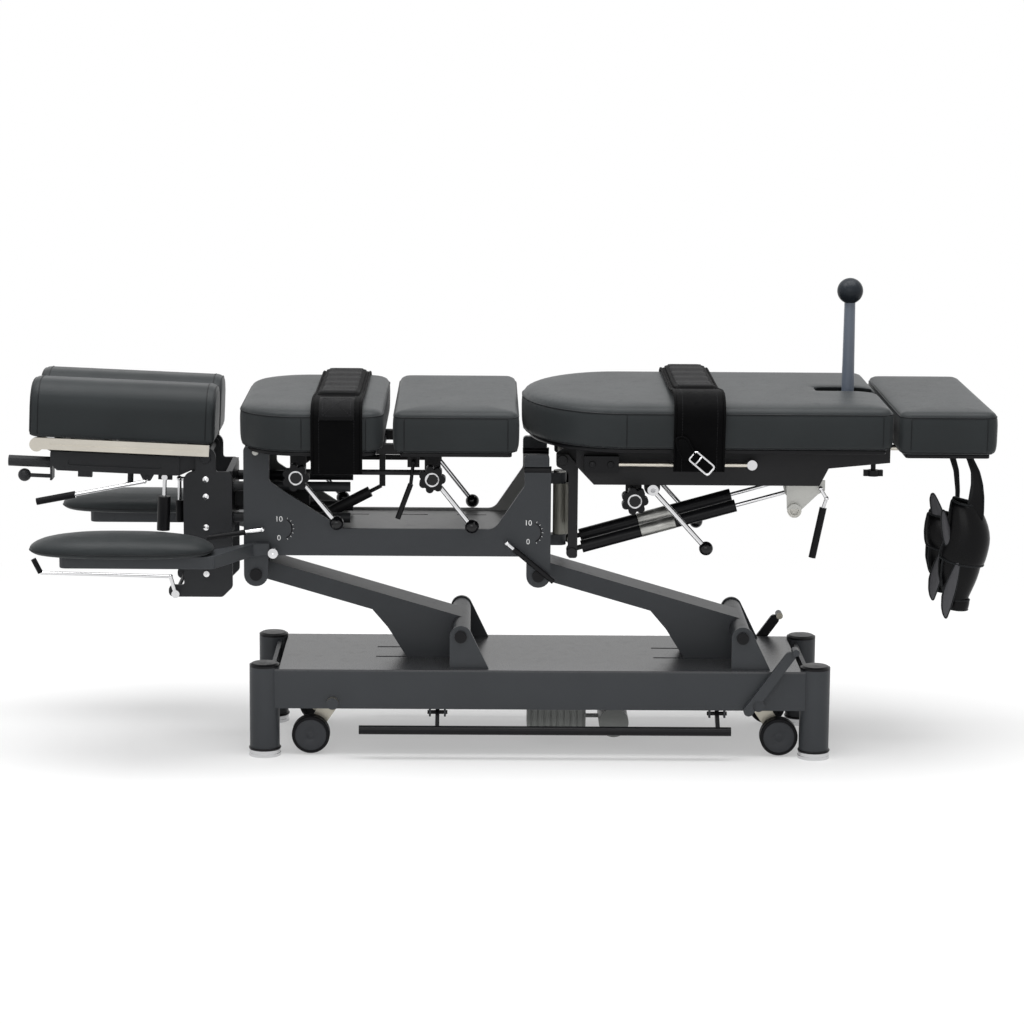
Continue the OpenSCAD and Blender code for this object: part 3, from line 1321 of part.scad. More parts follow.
module head_tray() {
  color(frame_blue) at_rest() in_head() {
    for (sy = both) {
      y0 = sy * head_y - head_t / 2;
      difference() {
        slab_y(rounded([[head_x0, head_low + lug_r], [head_x0 + lug_r, head_low],
          [cock_x - lug_r, head_low], [cock_x - lug_r / 2, cock_z - lug_r / 2],
          [cock_x + lug_r / 2, cock_z - lug_r / 2], [cock_x + lug_r, head_low],
          [head_x1, head_low], [head_x1, head_top], [head_x0, head_top]],
          [4, 4, 0, 4, 4, 0, 6, 6, 4]), y0, head_t);
        side_slab(sy, rounded(box_xz(head_x0 + 3 * slot_h, head_x1 - 3 * slot_h,
          head_low + slot_h, head_low + 2 * slot_h),
          [for (i = [0:3]) slot_h * 0.45]), head_y, head_y + head_t);
        bore_y(cock_x, cock_z, thin_r + run_gap);
      }
      difference() {
        slab_y(rounded([[head_x1 - lug_r, head_low], [head_x1, head_low], [0, -lug_r],
          [lug_r, -lug_r], [lug_r, lug_r], [-lug_r, lug_r],
          [head_x1 - lug_r, head_top - head_t]],
          [0, 4, lug_r, lug_r * 0.9, lug_r * 0.9, lug_r * 0.9, 0]),
          sy * rib_y - head_t, 2 * head_t);
        bore_y(0, 0, tilt_pin_r + run_gap);
      }
      difference() {
        union() {
          slab_y([[head_x0, head_top], [drop_x - drop_lug_r * 0.6, drop_z
            - drop_lug_r * 0.8], [drop_x + drop_lug_r * 0.6, drop_z
            + drop_lug_r * 0.8], [head_x0 + 2 * lug_r, head_top]],
            sy * rib_y - head_t, 2 * head_t);
          pin_y(drop_x, drop_z, drop_lug_r, sy * rib_y - head_t, sy * rib_y + head_t);
        }
        bore_y(drop_x, drop_z, drop_pin_r + run_gap);
      }
    }
    block(head_x0 + head_t, head_x1, -head_y + head_t / 2, head_y - head_t / 2,
      head_top - head_t, head_top);
    block(head_x0, head_x0 + head_t, -head_y + head_t / 2, head_y - head_t / 2,
      head_low, head_top);
    block(head_x0, head_x0 + head_t, -rib_y, -rib_y / 2, ball_z - drop_pin_r, head_low);
    pin_x(-spring_y, pull_z, pull_r, pull_x, head_x0);
    pin_x(-spring_y, ball_z, thin_r, ball_x + ball_r * 0.9, head_x0);
    ball_at([ball_x, -spring_y, ball_z], ball_r);
    block(lock_x - lug_r, lock_x + lug_r, -spring_y, -spring_y + 2 * head_t,
      cock_z - lug_r / 2, head_top - head_t);
    pin_z(cock_x - 3 * lug_r, 0, 1.5 * thin_r, cock_z - 2 * lug_r, head_top - head_t);
    pin_z(cock_x - 3 * lug_r, 0, lug_r * 0.7, cock_z - 2.2 * lug_r, cock_z - 2 * lug_r);
    block(head_x0 + 4 * lug_r, head_x0 + 6 * lug_r, -head_y, -head_y + lug_r,
      head_low - lug_r * 0.8, head_low);
  }
}
bar_out_y = 132;
nickel_t = 8;
nickel_z0 = 8;
nickel_z1 = 31;
nickel_x1 = 9;
groove = 2;
module head_drop_frame() {
  color(warm_nickel) at_rest() in_head() {
    for (sy = both) {
      y0 = sy * (bar_out_y - nickel_t / 2) - nickel_t / 2;
      difference() {
        block(drop_x, nickel_x1, y0, y0 + nickel_t, nickel_z0, nickel_z1);
        block(drop_x + 2 * lug_r, nickel_x1 - lug_r, sy * bar_out_y - groove,
          sy * bar_out_y + groove, (nickel_z0 + nickel_z1) / 2 - groove,
          (nickel_z0 + nickel_z1) / 2 + groove);
        bore_y(drop_x, drop_z, lug_r);
      }
      pin_y(drop_x, drop_z, lug_r, sy * (bar_out_y - nickel_t / 2) - nickel_t / 2,
        sy * (bar_out_y - nickel_t / 2) + nickel_t / 2);
    }
    pin_y(drop_x, drop_z, drop_pin_r, -bar_out_y + nickel_t, bar_out_y - nickel_t);
    block(drop_x, head_x1 - lug_r, -nickel_t, nickel_t, nickel_z0 + 4 * groove, nickel_z1);
    for (x = [drop_x + 3 * lug_r, (drop_x + head_x1) / 2, head_x1 - lug_r])
      block(x - nickel_t, x + nickel_t, -bar_out_y + nickel_t, bar_out_y - nickel_t,
        nickel_z0 + groove, nickel_z1);
  }
}
face_x0 = -348;
face_y = 72;
face_z0 = 31.5;
face_h = 114;
face_low_r = 18;
face_top_r = 54;
face_rings = [[9, 0], [3, 5], [0, 14]];
module face_cushions() {
  section = rounded([[-face_w / 2, 0], [face_w / 2, 0], [face_w / 2, face_h],
    [-face_w / 2, face_h]], [face_low_r, face_low_r, face_top_r, face_top_r], 6);
  color(leather_grey) at_rest() in_head() for (sy = both)
    translate([face_x0, sy * face_y, face_z0]) rotate([90, 0, 90])
      stacked(concat([for (s = face_rings) raised(inset(section, s[0]), s[1])],
        [for (i = [2:-1:0]) raised(inset(section, face_rings[i][0]),
          face_len - face_rings[i][1])]),
        [0, face_h / 2, 0], [0, face_h / 2, face_len]);
}
head_lever_y = 140;
head_reach = [-212, -50];
module head_cocking_lever() {
  p = [cock_x, -head_lever_y, cock_z];
  q = p + [head_reach[0], 0, head_reach[1]];
  color(bright_chrome) at_rest() in_head() {
    pin_y(cock_x, cock_z, thin_r, -head_lever_y, head_y + head_t);
    grip_lever(p, q, 0.9 * thin_r, 1.3 * side_grip_r, 0.36);
  }
}
lock_drop = 108;
module head_lock_lever() {
  z0 = cock_z;
  color(black_plastic) at_rest() in_head() {
    union() {
      pin_y(lock_x, z0, 1.5 * thin_r, -spring_y - 4 * head_t, -spring_y - run_gap);
      pin_z(lock_x, -spring_y - 2 * head_t, thin_r, z0 - lock_drop * 0.36, z0);
    }
    pin_z(lock_x, -spring_y - 2 * head_t, pull_r + head_t / 2, z0 - lock_drop,
      z0 - lock_drop * 0.36);
  }
}
crank_x = -728;
crank_z = 540;
crank_y = 25;
module head_crank() {
  p = [crank_x, -crank_y, crank_z];
  color(bright_chrome) at_rest() {
    union() {
      pin_x(-crank_y, crank_z, thin_r, crank_x, carrier_x1 - end_plate_t / 4);
      ball_at(p, 1.5 * thin_r);
      rod_between(p, p + [0, 0, -4 * pull_r], thin_r);
    }
    pin_z(crank_x, -crank_y, 2 * thin_r, crank_z - 8 * pull_r,
      crank_z - 4 * pull_r);
  }
}
low_lever_rise = [-10, 35];
low_lever_reach = [-259, 6];
low_grip = [-14, 28];
module carrier_release_lever() {
  pin_end = carrier_y + 2 * carrier_t;
  y = pin_end + pass_gap + 1.5 * thin_r;
  p = [toe_x, -y, toe_z];
  m = p + [low_lever_rise[0], 0, low_lever_rise[1]];
  q = m + [low_lever_reach[0], 0, low_lever_reach[1]];
  color(bright_chrome) at_rest() {
    difference() {
      union() {
        side_pin(-1, toe_x, toe_z, 2 * thin_r,
          carrier_y + carrier_t / 2 + pass_gap, y + 1.5 * thin_r);
        rod_between(p, m, thin_r);
        ball_at(m, knuckle_share * thin_r);
        rod_between(m, q, 0.9 * thin_r);
      }
      side_pin(-1, toe_x, toe_z, thin_r + run_gap, 0, pin_end + pass_gap);
    }
    rod_between(q, q + [low_grip[0], 0, low_grip[1]], side_grip_r);
  }
}
// Armrests: a pad, its support plate and an arm to the bolt on the carriage
arm_pad_x1 = -640;
arm_pad_y = 255;
arm_pad_z = 430;
arm_pad_h = 30;
arm_pad_crown = 12;
arm_lug_y = 133;
arm_lug_t = 8;
arm_plate_t = 8;
module armrest(sy) {
  x0 = arm_pad_x1 - armrest_len;
  bolt_x = plate_x0 + arm_bolt_dx;
  z1 = arm_pad_z;
  z0 = z1 - arm_plate_t;
  half = armrest_w / 2;
  lug_mid = sy * (arm_lug_y + arm_lug_t / 2);
  wide = half * 0.42;
  color(leather_grey) at_rest() {
    translate([0, sy * arm_pad_y, 0]) padded(rounded(box_outline(x0, arm_pad_x1, half),
      [half * 0.9, half * 0.8, half * 0.8, half * 0.9], 8), z1, z1 + arm_pad_h,
      arm_pad_crown);
    translate([0, 0, z0]) linear_extrude(arm_plate_t) polygon([
      [x0 + half / 2, sy * (arm_pad_y - wide)],
      [arm_pad_x1 - half / 4, sy * (arm_pad_y - wide)],
      [bolt_x - half * 0.55, sy * arm_lug_y],
      [bolt_x - half * 0.1, sy * arm_lug_y],
      [bolt_x - half * 0.1, sy * (arm_lug_y + arm_lug_t)],
      [bolt_x - half * 0.5, sy * (arm_lug_y + 2 * arm_lug_t)],
      [arm_pad_x1, sy * (arm_pad_y + wide)], [x0 + half / 2, sy * (arm_pad_y + wide)]]);
    difference() {
      slab_y(rounded([[bolt_x - half * 0.5, z0], [bolt_x - lobe_r / 2, arm_bolt_z
        - lobe_r * 0.6], [bolt_x + lobe_r * 0.6, arm_bolt_z - lobe_r * 0.6],
        [bolt_x + lobe_r * 0.6, z0]], [0, lobe_r / 3, lobe_r / 3, lobe_r / 3]),
        lug_mid - arm_lug_t / 2, arm_lug_t);
      bore_y(bolt_x, arm_bolt_z, arm_bolt_r + run_gap);
    }
  }
}
module near_armrest() armrest(-1);
module far_armrest() armrest(1);

// Middle of the whole length, from the head pull tube to the foot cushion
head_end_low_x = tilt_x + pull_x * cos(head_angle) + (pull_z - pull_r) * sin(head_angle);
table_mid_x = -(head_end_low_x + foot_x0 + foot_len) / 2;

base_posts();
post_caps();
foot_discs();
base_rails();
deck_plate();
pivot_ears();
lower_pivot_pins();
near_foot_bar();
far_foot_bar();
lift_actuator();
actuator_rod();
head_caster_frame();
foot_caster_frame();
near_head_wheel();
far_head_wheel();
near_foot_wheel();
far_foot_wheel();
head_lift_arm();
foot_lift_arm();
near_side_plate();
far_side_plate();
carriage_cross_plates();
carriage_fittings();
head_release_lever();
leg_release_lever();
section_supports();
chest_cushion();
chest_strap();
chest_knob();
chest_cocking_lever();
pelvic_cushion();
pelvic_knob();
pelvic_cocking_lever();
pelvic_release_lever();
leg_swivel_post();
leg_tray();
leg_cushion();
leg_strap();
leg_fittings();
leg_knob();
leg_cocking_lever();
gas_spring_tubes();
gas_spring_rods();
leg_release_handle();
flexion_handle();
foot_cushion();
foot_slide_bars();
foot_clamp_knob();
near_boot();
far_boot();
head_carrier();
head_tray();
head_drop_frame();
face_cushions();
head_cocking_lever();
head_lock_lever();
head_crank();
carrier_release_lever();
near_armrest();
far_armrest();
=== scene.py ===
import json
from math import acos, atan2, ceil, cos, inf, pi, radians, sin, tan

import bpy
import numpy as np
from mathutils import Matrix, Vector
from mathutils.bvhtree import BVHTree


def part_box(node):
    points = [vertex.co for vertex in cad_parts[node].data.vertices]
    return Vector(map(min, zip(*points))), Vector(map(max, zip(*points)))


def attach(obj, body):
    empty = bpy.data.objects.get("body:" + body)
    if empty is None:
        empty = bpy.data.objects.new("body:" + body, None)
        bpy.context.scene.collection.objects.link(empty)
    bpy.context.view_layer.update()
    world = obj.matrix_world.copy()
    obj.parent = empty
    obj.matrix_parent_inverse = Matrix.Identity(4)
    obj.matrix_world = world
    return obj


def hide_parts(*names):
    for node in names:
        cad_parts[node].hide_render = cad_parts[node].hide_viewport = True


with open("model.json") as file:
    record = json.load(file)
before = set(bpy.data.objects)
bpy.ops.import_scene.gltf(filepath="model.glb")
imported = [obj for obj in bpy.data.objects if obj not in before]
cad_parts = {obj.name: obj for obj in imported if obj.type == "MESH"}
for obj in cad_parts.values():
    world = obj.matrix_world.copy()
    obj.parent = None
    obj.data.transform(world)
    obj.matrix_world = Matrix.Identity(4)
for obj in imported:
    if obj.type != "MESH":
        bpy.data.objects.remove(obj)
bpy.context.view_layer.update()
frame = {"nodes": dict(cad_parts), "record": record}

# Looks of the lifting chiropractic table. Lengths below are in millimetres on the base
# frame, whose X is zero midway between the posts, and at() turns them into metres.
MM = 0.001
DISC_LOW, DISC_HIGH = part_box("foot_discs")
MID_X = (DISC_LOW.x + DISC_HIGH.x) / 2
NEAR, FAR = -1, 1
SIDES = (("near", NEAR), ("far", FAR))


def at(x, y, z):
    """A point on the base frame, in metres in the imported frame."""
    return Vector((MID_X + x * MM, y * MM, z * MM))


# ---------------------------------------------------------------- shared surface effects

def new_group(name, numbers, outputs=("Height", "Tone")):
    """An empty node group with number inputs and the outputs it is to fill."""
    tree = bpy.data.node_groups.new(name, "ShaderNodeTree")
    for label, value in numbers.items():
        socket = tree.interface.new_socket(label, in_out="INPUT", socket_type="NodeSocketFloat")
        socket.default_value = value
    for label in outputs:
        tree.interface.new_socket(label, in_out="OUTPUT", socket_type="NodeSocketFloat")
    return tree, tree.nodes.new("NodeGroupInput"), tree.nodes.new("NodeGroupOutput")


def fill(tree, node, values):
    """Fills a node's sockets with values or links them to other sockets."""
    for key, value in dict(values).items():
        if isinstance(value, bpy.types.NodeSocket):
            tree.links.new(value, node.inputs[key])
        else:
            node.inputs[key].default_value = value
    return node


def add_node(tree, kind, values=(), **settings):
    """A node with its settings made and its sockets filled or linked."""
    node = tree.nodes.new("ShaderNode" + kind)
    for key, value in settings.items():
        setattr(node, key, value)
    return fill(tree, node, values)


def number(tree, operation, first, second=0.0, clamp=False):
    """One sum on numbers."""
    node = add_node(tree, "Math", {0: first, 1: second}, operation=operation, use_clamp=clamp)
    return node.outputs[0]


def between(tree, value, low, high, to_low=0.0, to_high=1.0):
    """The value moved from one span to another, held at the ends."""
    spans = {"Value": value, "From Min": low, "From Max": high,
             "To Min": to_low, "To Max": to_high}
    return add_node(tree, "MapRange", spans, clamp=True).outputs[0]


def own_place(tree, stretch=None):
    """The point on the piece's own surface, stretched where a finish has a direction."""
    place = add_node(tree, "TexCoord").outputs["Object"]
    if stretch:
        place = add_node(tree, "Mapping", {"Vector": place, "Scale": stretch}).outputs[0]
    return place


def noise(tree, place, scale, detail, **more):
    """Smooth noise over the surface."""
    values = {"Vector": place, "Scale": scale, "Detail": detail, **more}
    return add_node(tree, "TexNoise", values).outputs[0]


def put_out(tree, made, *values):
    """Links the values to the group's outputs, in their order."""
    fill(tree, made, enumerate(values))
    return tree


def hide_grain_group():
    """Pebbled leather: cells with fine pores, soft creases and uneven dye."""
    tree, given, made = new_group("hide_grain", {"Cells per metre": 420.0, "Crease": 0.35})
    place = own_place(tree)
    cells = add_node(tree, "TexVoronoi", {"Vector": place, "Scale": given.outputs[0]},
                     feature="SMOOTH_F1")
    pebble = number(tree, "MULTIPLY", cells.outputs["Distance"], 0.7)
    speck = number(tree, "MULTIPLY", noise(tree, place, 1500.0, 2.0), 0.25)
    creases = noise(tree, place, 34.0, 5.0, Distortion=0.6)
    fold = number(tree, "MULTIPLY", creases, given.outputs[1])
    height = number(tree, "ADD", number(tree, "ADD", pebble, speck), fold)
    dye = noise(tree, place, 5.0, 3.0)
    return put_out(tree, made, height, between(tree, dye, 0.35, 0.65))


def speckle_group():
    """The fine orange peel of a sprayed, moulded or cast skin, with a slow change of tone."""
    tree, given, made = new_group("skin_speckle", {"Grains per metre": 900.0, "Patch": 6.0})
    place = own_place(tree)
    grain = noise(tree, place, given.outputs[0], 3.0, Roughness=0.6)
    patch = noise(tree, place, given.outputs[1], 4.0)
    return put_out(tree, made, grain, between(tree, patch, 0.3, 0.7))


def brushed_group():
    """Lines drawn along the length of a bar."""
    tree, given, made = new_group("brushed_lines", {"Lines per metre": 1400.0})
    lines = noise(tree, own_place(tree, (0.02, 1.0, 1.0)), given.outputs[0], 2.0)
    patch = noise(tree, own_place(tree), 9.0, 3.0)
    return put_out(tree, made, lines, between(tree, patch, 0.3, 0.7))


def weave_group():
    """Crossed yarns of nylon webbing."""
    tree, given, made = new_group("nylon_weave", {"Yarns per metre": 900.0})
    split = add_node(tree, "SeparateXYZ", {0: own_place(tree)})
    along = number(tree, "ADD", split.outputs[1], split.outputs[2])
    waves = []
    for run in (split.outputs[0], along):
        turn = number(tree, "MULTIPLY", number(tree, "MULTIPLY", run, given.outputs[0]), 2 * pi)
        waves.append(number(tree, "SINE", turn))
    yarns = between(tree, number(tree, "MULTIPLY", *waves), -1.0, 1.0)
    patch = noise(tree, own_place(tree), 22.0, 3.0)
    return put_out(tree, made, yarns, between(tree, patch, 0.3, 0.7))


def dust_group():
    """A thin film of dust on what faces up, and handling marks everywhere."""
    tree, given, made = new_group("dust_film", {"Dust": 0.15, "Marks": 0.2}, ("Film", "Marks"))
    facing = add_node(tree, "SeparateXYZ", {0: add_node(tree, "NewGeometry").outputs["Normal"]})
    up = between(tree, facing.outputs[2], 0.3, 1.0)
    place = own_place(tree)
    film = number(tree, "MULTIPLY", up, between(tree, noise(tree, place, 14.0, 6.0), 0.35, 0.75))
    smear = between(tree, noise(tree, place, 55.0, 4.0, Distortion=1.2), 0.55, 0.75)
    return put_out(tree, made, number(tree, "MULTIPLY", film, given.outputs[0]),
                   number(tree, "MULTIPLY", smear, given.outputs[1]))


HIDE_GRAIN = hide_grain_group()
SKIN_SPECKLE = speckle_group()
BRUSHED_LINES = brushed_group()
NYLON_WEAVE = weave_group()
DUST_FILM = dust_group()


# ---------------------------------------------------------------- finishes

def finish(name, colour, roughness, effect, values=(), metallic=0.0, bump=0.1, lift=0.12,
           tone=0.12, dust=0.1, marks=0.15, coat=0.0, sheen=0.0, gloss=0.5):
    """A finish made of a base colour, a surface effect, dust and handling marks."""
    made = bpy.data.materials.new(name)
    made.use_nodes = True
    tree = made.node_tree
    group = add_node(tree, "Group", values, node_tree=effect)
    film = add_node(tree, "Group", {"Dust": dust, "Marks": marks}, node_tree=DUST_FILM)
    dark = [c * (1 - tone) for c in colour] + [1.0]
    light = [min(1.0, c * (1 + tone)) for c in colour] + [1.0]
    dyed = add_node(tree, "Mix", {0: group.outputs["Tone"], 6: dark, 7: light}, data_type="RGBA")
    grey = [min(1.0, c * 0.6 + 0.22) for c in colour] + [1.0]
    dusty = add_node(tree, "Mix", {0: film.outputs["Film"], 6: dyed.outputs[2], 7: grey},
                     data_type="RGBA")
    spread = between(tree, group.outputs["Height"], 0.2, 0.8, roughness - 0.04, roughness + 0.05)
    raised = add_node(tree, "Bump", {"Strength": bump, "Distance": lift * MM,
                                     "Height": group.outputs["Height"]})
    fill(tree, tree.nodes["Principled BSDF"], {
        "Base Color": dusty.outputs[2], "Normal": raised.outputs[0],
        "Roughness": number(tree, "ADD", spread, film.outputs["Marks"], clamp=True),
        "Metallic": metallic, "Coat Weight": coat, "Coat Roughness": 0.2,
        "Sheen Weight": sheen, "Specular IOR Level": gloss})
    made.diffuse_color = (*colour, 1.0)
    return made


def skin(name, colour, roughness, grains=900.0, **more):
    """A painted, moulded, cast or plated finish with its speckle's grains per metre."""
    return finish(name, colour, roughness, SKIN_SPECKLE, {"Grains per metre": grains}, **more)


def hide(name, colour, roughness, cells, crease, **more):
    """A leather finish with its grain's cells per metre and the depth of its creases."""
    return finish(name, colour, roughness, HIDE_GRAIN,
                  {"Cells per metre": cells, "Crease": crease}, **more)


def webbing(name, colour, roughness, yarns=900.0, **more):
    """A woven finish with its yarns per metre."""
    return finish(name, colour, roughness, NYLON_WEAVE, {"Yarns per metre": yarns}, **more)


CHARCOAL_HIDE = hide("charcoal_hide", (0.018, 0.0208, 0.022), 0.42, 460.0, 0.3, bump=0.3,
                     lift=0.22, tone=0.1, dust=0.04, marks=0.05, sheen=0.05, gloss=0.13)
DARK_PIPING = hide("dark_piping", (0.010, 0.011, 0.012), 0.5, 420.0, 0.35, bump=0.2, gloss=0.12)
BOOT_HIDE = hide("boot_hide", (0.0018, 0.0018, 0.0022), 0.25, 300.0, 0.8, bump=0.3, lift=0.35,
                 coat=0.05, dust=0.005, marks=0.1, gloss=0.1)
# painted light: the tongue and flap of each boot get this lighter finish to stand for the light
# on them
BOOT_LEAF_PAINTED_LIGHT = hide("boot_lining", (0.055, 0.055, 0.060), 0.55, 350.0, 0.5, bump=0.25, dust=0.05,
                   gloss=0.3)
STRAP_CLOTH = webbing("strap_cloth", (0.0016, 0.0016, 0.0018), 0.62, bump=0.4, lift=0.2,
                      tone=0.2, dust=0.003, sheen=0.01, gloss=0.03)
STRAP_ELASTIC = webbing("strap_elastic", (0.006, 0.006, 0.0065), 0.6, 500.0, bump=0.5, lift=0.3,
                        dust=0.01, sheen=0.03, gloss=0.05)
STITCH_THREAD = webbing("stitch_thread", (0.018, 0.018, 0.020), 0.6, 2500.0, bump=0.3, gloss=0.1)
FRAME_POWDER = skin("frame_powder", (0.036, 0.039, 0.043), 0.4, bump=0.1, tone=0.06, dust=0.05,
                    marks=0.06, gloss=0.22)
# painted light: a lighter copy of the frame powder that stands for the light falling on the far
# side plate's inner face
PLATE_PAINTED_LIGHT = skin("pale_powder", (0.30, 0.30, 0.295), 0.42, bump=0.06, tone=0.05, dust=0.04,
                   marks=0.05, gloss=0.3)
CARRIER_POWDER = skin("carrier_powder", (0.025, 0.026, 0.028), 0.42, bump=0.1, tone=0.06,
                      dust=0.04, marks=0.06, gloss=0.14)
# painted light: a lighter copy of the frame powder that stands for the light on the carriage pan
PAN_PAINTED_LIGHT = skin("pan_powder", (0.13, 0.13, 0.132), 0.35, bump=0.05, tone=0.04, dust=0.04,
                  marks=0.05, gloss=0.3)
TRAY_POWDER = skin("tray_powder", (0.018, 0.018, 0.019), 0.42, bump=0.1, tone=0.06, dust=0.04,
                   marks=0.06, gloss=0.12)
# the deck's glossy powder coat; its gloss is real, and its lighter base colour is a painted
# reflection of the white surroundings
DECK_PAINTED_REFLECTION = skin("deck_powder", (0.052, 0.053, 0.057), 0.28, 500.0, bump=0.03, tone=0.04,
                   dust=0.04, marks=0.05, gloss=0.35)
BLACK_MOULDED = skin("black_moulded", (0.006, 0.006, 0.007), 0.34, 1800.0, bump=0.15, tone=0.15,
                     dust=0.03, gloss=0.15)
KNOB_GLOSS = skin("knob_gloss", (0.004, 0.004, 0.005), 0.14, bump=0.03, tone=0.1, dust=0.02,
                  marks=0.05, gloss=0.3)
GRIP_RUBBER = skin("grip_rubber", (0.005, 0.005, 0.006), 0.5, 2400.0, bump=0.35, tone=0.15,
                   dust=0.03, gloss=0.12)
BRIGHT_CHROME = skin("bright_chrome", (0.66, 0.66, 0.67), 0.12, 60.0, metallic=1.0, bump=0.03,
                     tone=0.04, dust=0.04, marks=0.12)
SATIN_NICKEL = finish("satin_nickel", (0.55, 0.52, 0.46), 0.3, BRUSHED_LINES, metallic=1.0,
                      bump=0.1, tone=0.08, dust=0.04, marks=0.12)
BARREL_ZINC = finish("barrel_zinc", (0.30, 0.295, 0.26), 0.5, BRUSHED_LINES, metallic=0.4,
                     bump=0.1, tone=0.08, dust=0.04, marks=0.1)
CAST_ZINC = skin("cast_zinc", (0.40, 0.40, 0.38), 0.36, 700.0, metallic=0.85, bump=0.2,
                 tone=0.12, marks=0.15)
PLATED_STEEL = skin("plated_steel", (0.36, 0.34, 0.29), 0.34, 300.0, metallic=0.9, bump=0.1,
                    tone=0.12, marks=0.2)
DRIVE_GREY = skin("drive_grey", (0.12, 0.125, 0.12), 0.4, 600.0, metallic=0.4, bump=0.2,
                  tone=0.15, marks=0.2)
TYRE_RUBBER = skin("tyre_rubber", (0.005, 0.005, 0.006), 0.5, 1300.0, bump=0.3, tone=0.2,
                   dust=0.05, gloss=0.12)
WHEEL_FACE = skin("wheel_face", (0.038, 0.040, 0.044), 0.45, 1100.0, bump=0.1, tone=0.06,
                  dust=0.05, gloss=0.15)
PALE_NYLON = skin("pale_nylon", (0.48, 0.47, 0.43), 0.45, 800.0, bump=0.1, tone=0.08, dust=0.1)
HANDLE_SLATE = skin("handle_slate", (0.090, 0.108, 0.140), 0.34, 800.0, bump=0.1, tone=0.06,
                    coat=0.2)
BALL_SLATE = skin("ball_slate", (0.014, 0.017, 0.021), 0.3, 1500.0, bump=0.12, tone=0.1,
                  dust=0.03, gloss=0.12)
MARK_WHITE = skin("mark_white", (0.70, 0.70, 0.70), 0.5, 1500.0, bump=0.05, tone=0.04, dust=0.05)

SLOT_FINISHES = {
    "frame": FRAME_POWDER, "black": BLACK_MOULDED, "chrome": BRIGHT_CHROME,
    "nickel": SATIN_NICKEL, "zinc": CAST_ZINC, "drive": DRIVE_GREY, "wheel": TYRE_RUBBER,
    "hide": CHARCOAL_HIDE, "web": STRAP_CLOTH, "boot": BOOT_HIDE, "handle": HANDLE_SLATE,
}


# ---------------------------------------------------------------- making pieces

def in_scene(name, data):
    """An object of the data, linked into the scene."""
    made = bpy.data.objects.new(name, data)
    bpy.context.scene.collection.objects.link(made)
    return made


def new_piece(name, verts, faces, surface, smooth=True):
    """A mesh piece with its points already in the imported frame."""
    mesh = bpy.data.meshes.new(name)
    mesh.from_pydata([tuple(v) for v in verts], [], [list(f) for f in faces])
    mesh.materials.append(surface)
    mesh.polygons.foreach_set("use_smooth", [smooth] * len(mesh.polygons))
    mesh.update()
    return in_scene(name, mesh)


def fit_piece(piece, body, slot, *nodes):
    """Puts a piece on its body and hides the nodes that it stands for; its slot is not used."""
    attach(piece, body)
    if nodes:
        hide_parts(*nodes)
    return piece


def fitted(name, shape, surface, body, slot):
    """A piece made of the verts and faces of a shape, on its body."""
    return fit_piece(new_piece(name, *shape, surface), body, slot)


def points_of(mesh):
    """The mesh's points as an array."""
    flat = np.empty(len(mesh.vertices) * 3)
    mesh.vertices.foreach_get("co", flat)
    return flat.reshape(-1, 3)


def put_points(mesh, points):
    """Moves the mesh's points to those of the array."""
    mesh.vertices.foreach_set("co", np.asarray(points, float).ravel())
    mesh.update()


def settled_mesh(piece):
    """The piece's mesh with its modifiers worked in."""
    graph = bpy.context.evaluated_depsgraph_get()
    graph.update()
    return bpy.data.meshes.new_from_object(piece.evaluated_get(graph))


def take_mesh(piece, mesh):
    """Gives the piece a worked mesh and clears its modifiers."""
    old = piece.data
    for surface in old.materials:
        if surface.name not in mesh.materials:
            mesh.materials.append(surface)
    piece.modifiers.clear()
    piece.data = mesh
    bpy.data.meshes.remove(old)
    mesh.polygons.foreach_set("use_smooth", [True] * len(mesh.polygons))
    return piece


def rounded(corners, radii, step=6.0):
    """Points round an outline whose corners are rounded, no further apart than step."""
    turned = []
    for i, (corner, radius) in enumerate(zip(corners, radii)):
        here = Vector(corner)
        back = (Vector(corners[i - 1]) - here).normalized()
        on = (Vector(corners[(i + 1) % len(corners)]) - here).normalized()
        if radius == 0:
            turned.append(here)
            continue
        half = acos(max(-1.0, min(1.0, back.dot(on)))) / 2
        centre = here + (back + on).normalized() * (radius / sin(half))
        first, last = back * (radius / tan(half)), on * (radius / tan(half))
        start = atan2(*reversed(here + first - centre))
        sweep = atan2(*reversed(here + last - centre)) - start
        sweep = (sweep + pi) % (2 * pi) - pi
        count = max(3, ceil(abs(sweep) * radius / step))
        turned += [centre + radius * Vector((cos(start + sweep * k / count),
                                             sin(start + sweep * k / count)))
                   for k in range(count + 1)]
    return spaced(turned, step)


def spaced(points, step):
    """The same closed line with no two points further apart than step."""
    made = []
    for i, point in enumerate(points):
        a, b = Vector(point), Vector(points[(i + 1) % len(points)])
        count = max(1, ceil((b - a).length / step))
        made += [a.lerp(b, k / count) for k in range(count)]
    return made


def outward(points):
    """The unit normal out of a closed outline at each of its points."""
    count = len(points)
    area = sum(points[i - 1].x * points[i].y - points[i].x * points[i - 1].y
               for i in range(count))
    way = 1 if area > 0 else -1
    return [Vector(((points[(i + 1) % count] - points[i - 1]).y,
                    -(points[(i + 1) % count] - points[i - 1]).x)).normalized() * way
            for i in range(count)]


def four_corners(x0, x1, half):
    """The corners of a span along X, as wide as half on either side."""
    return [(x0, -half), (x1, -half), (x1, half), (x0, half)]


def full_turn(count):
    """The cosine and sine of each step of a full turn."""
    return [(cos(2 * pi * k / count), sin(2 * pi * k / count)) for k in range(count)]


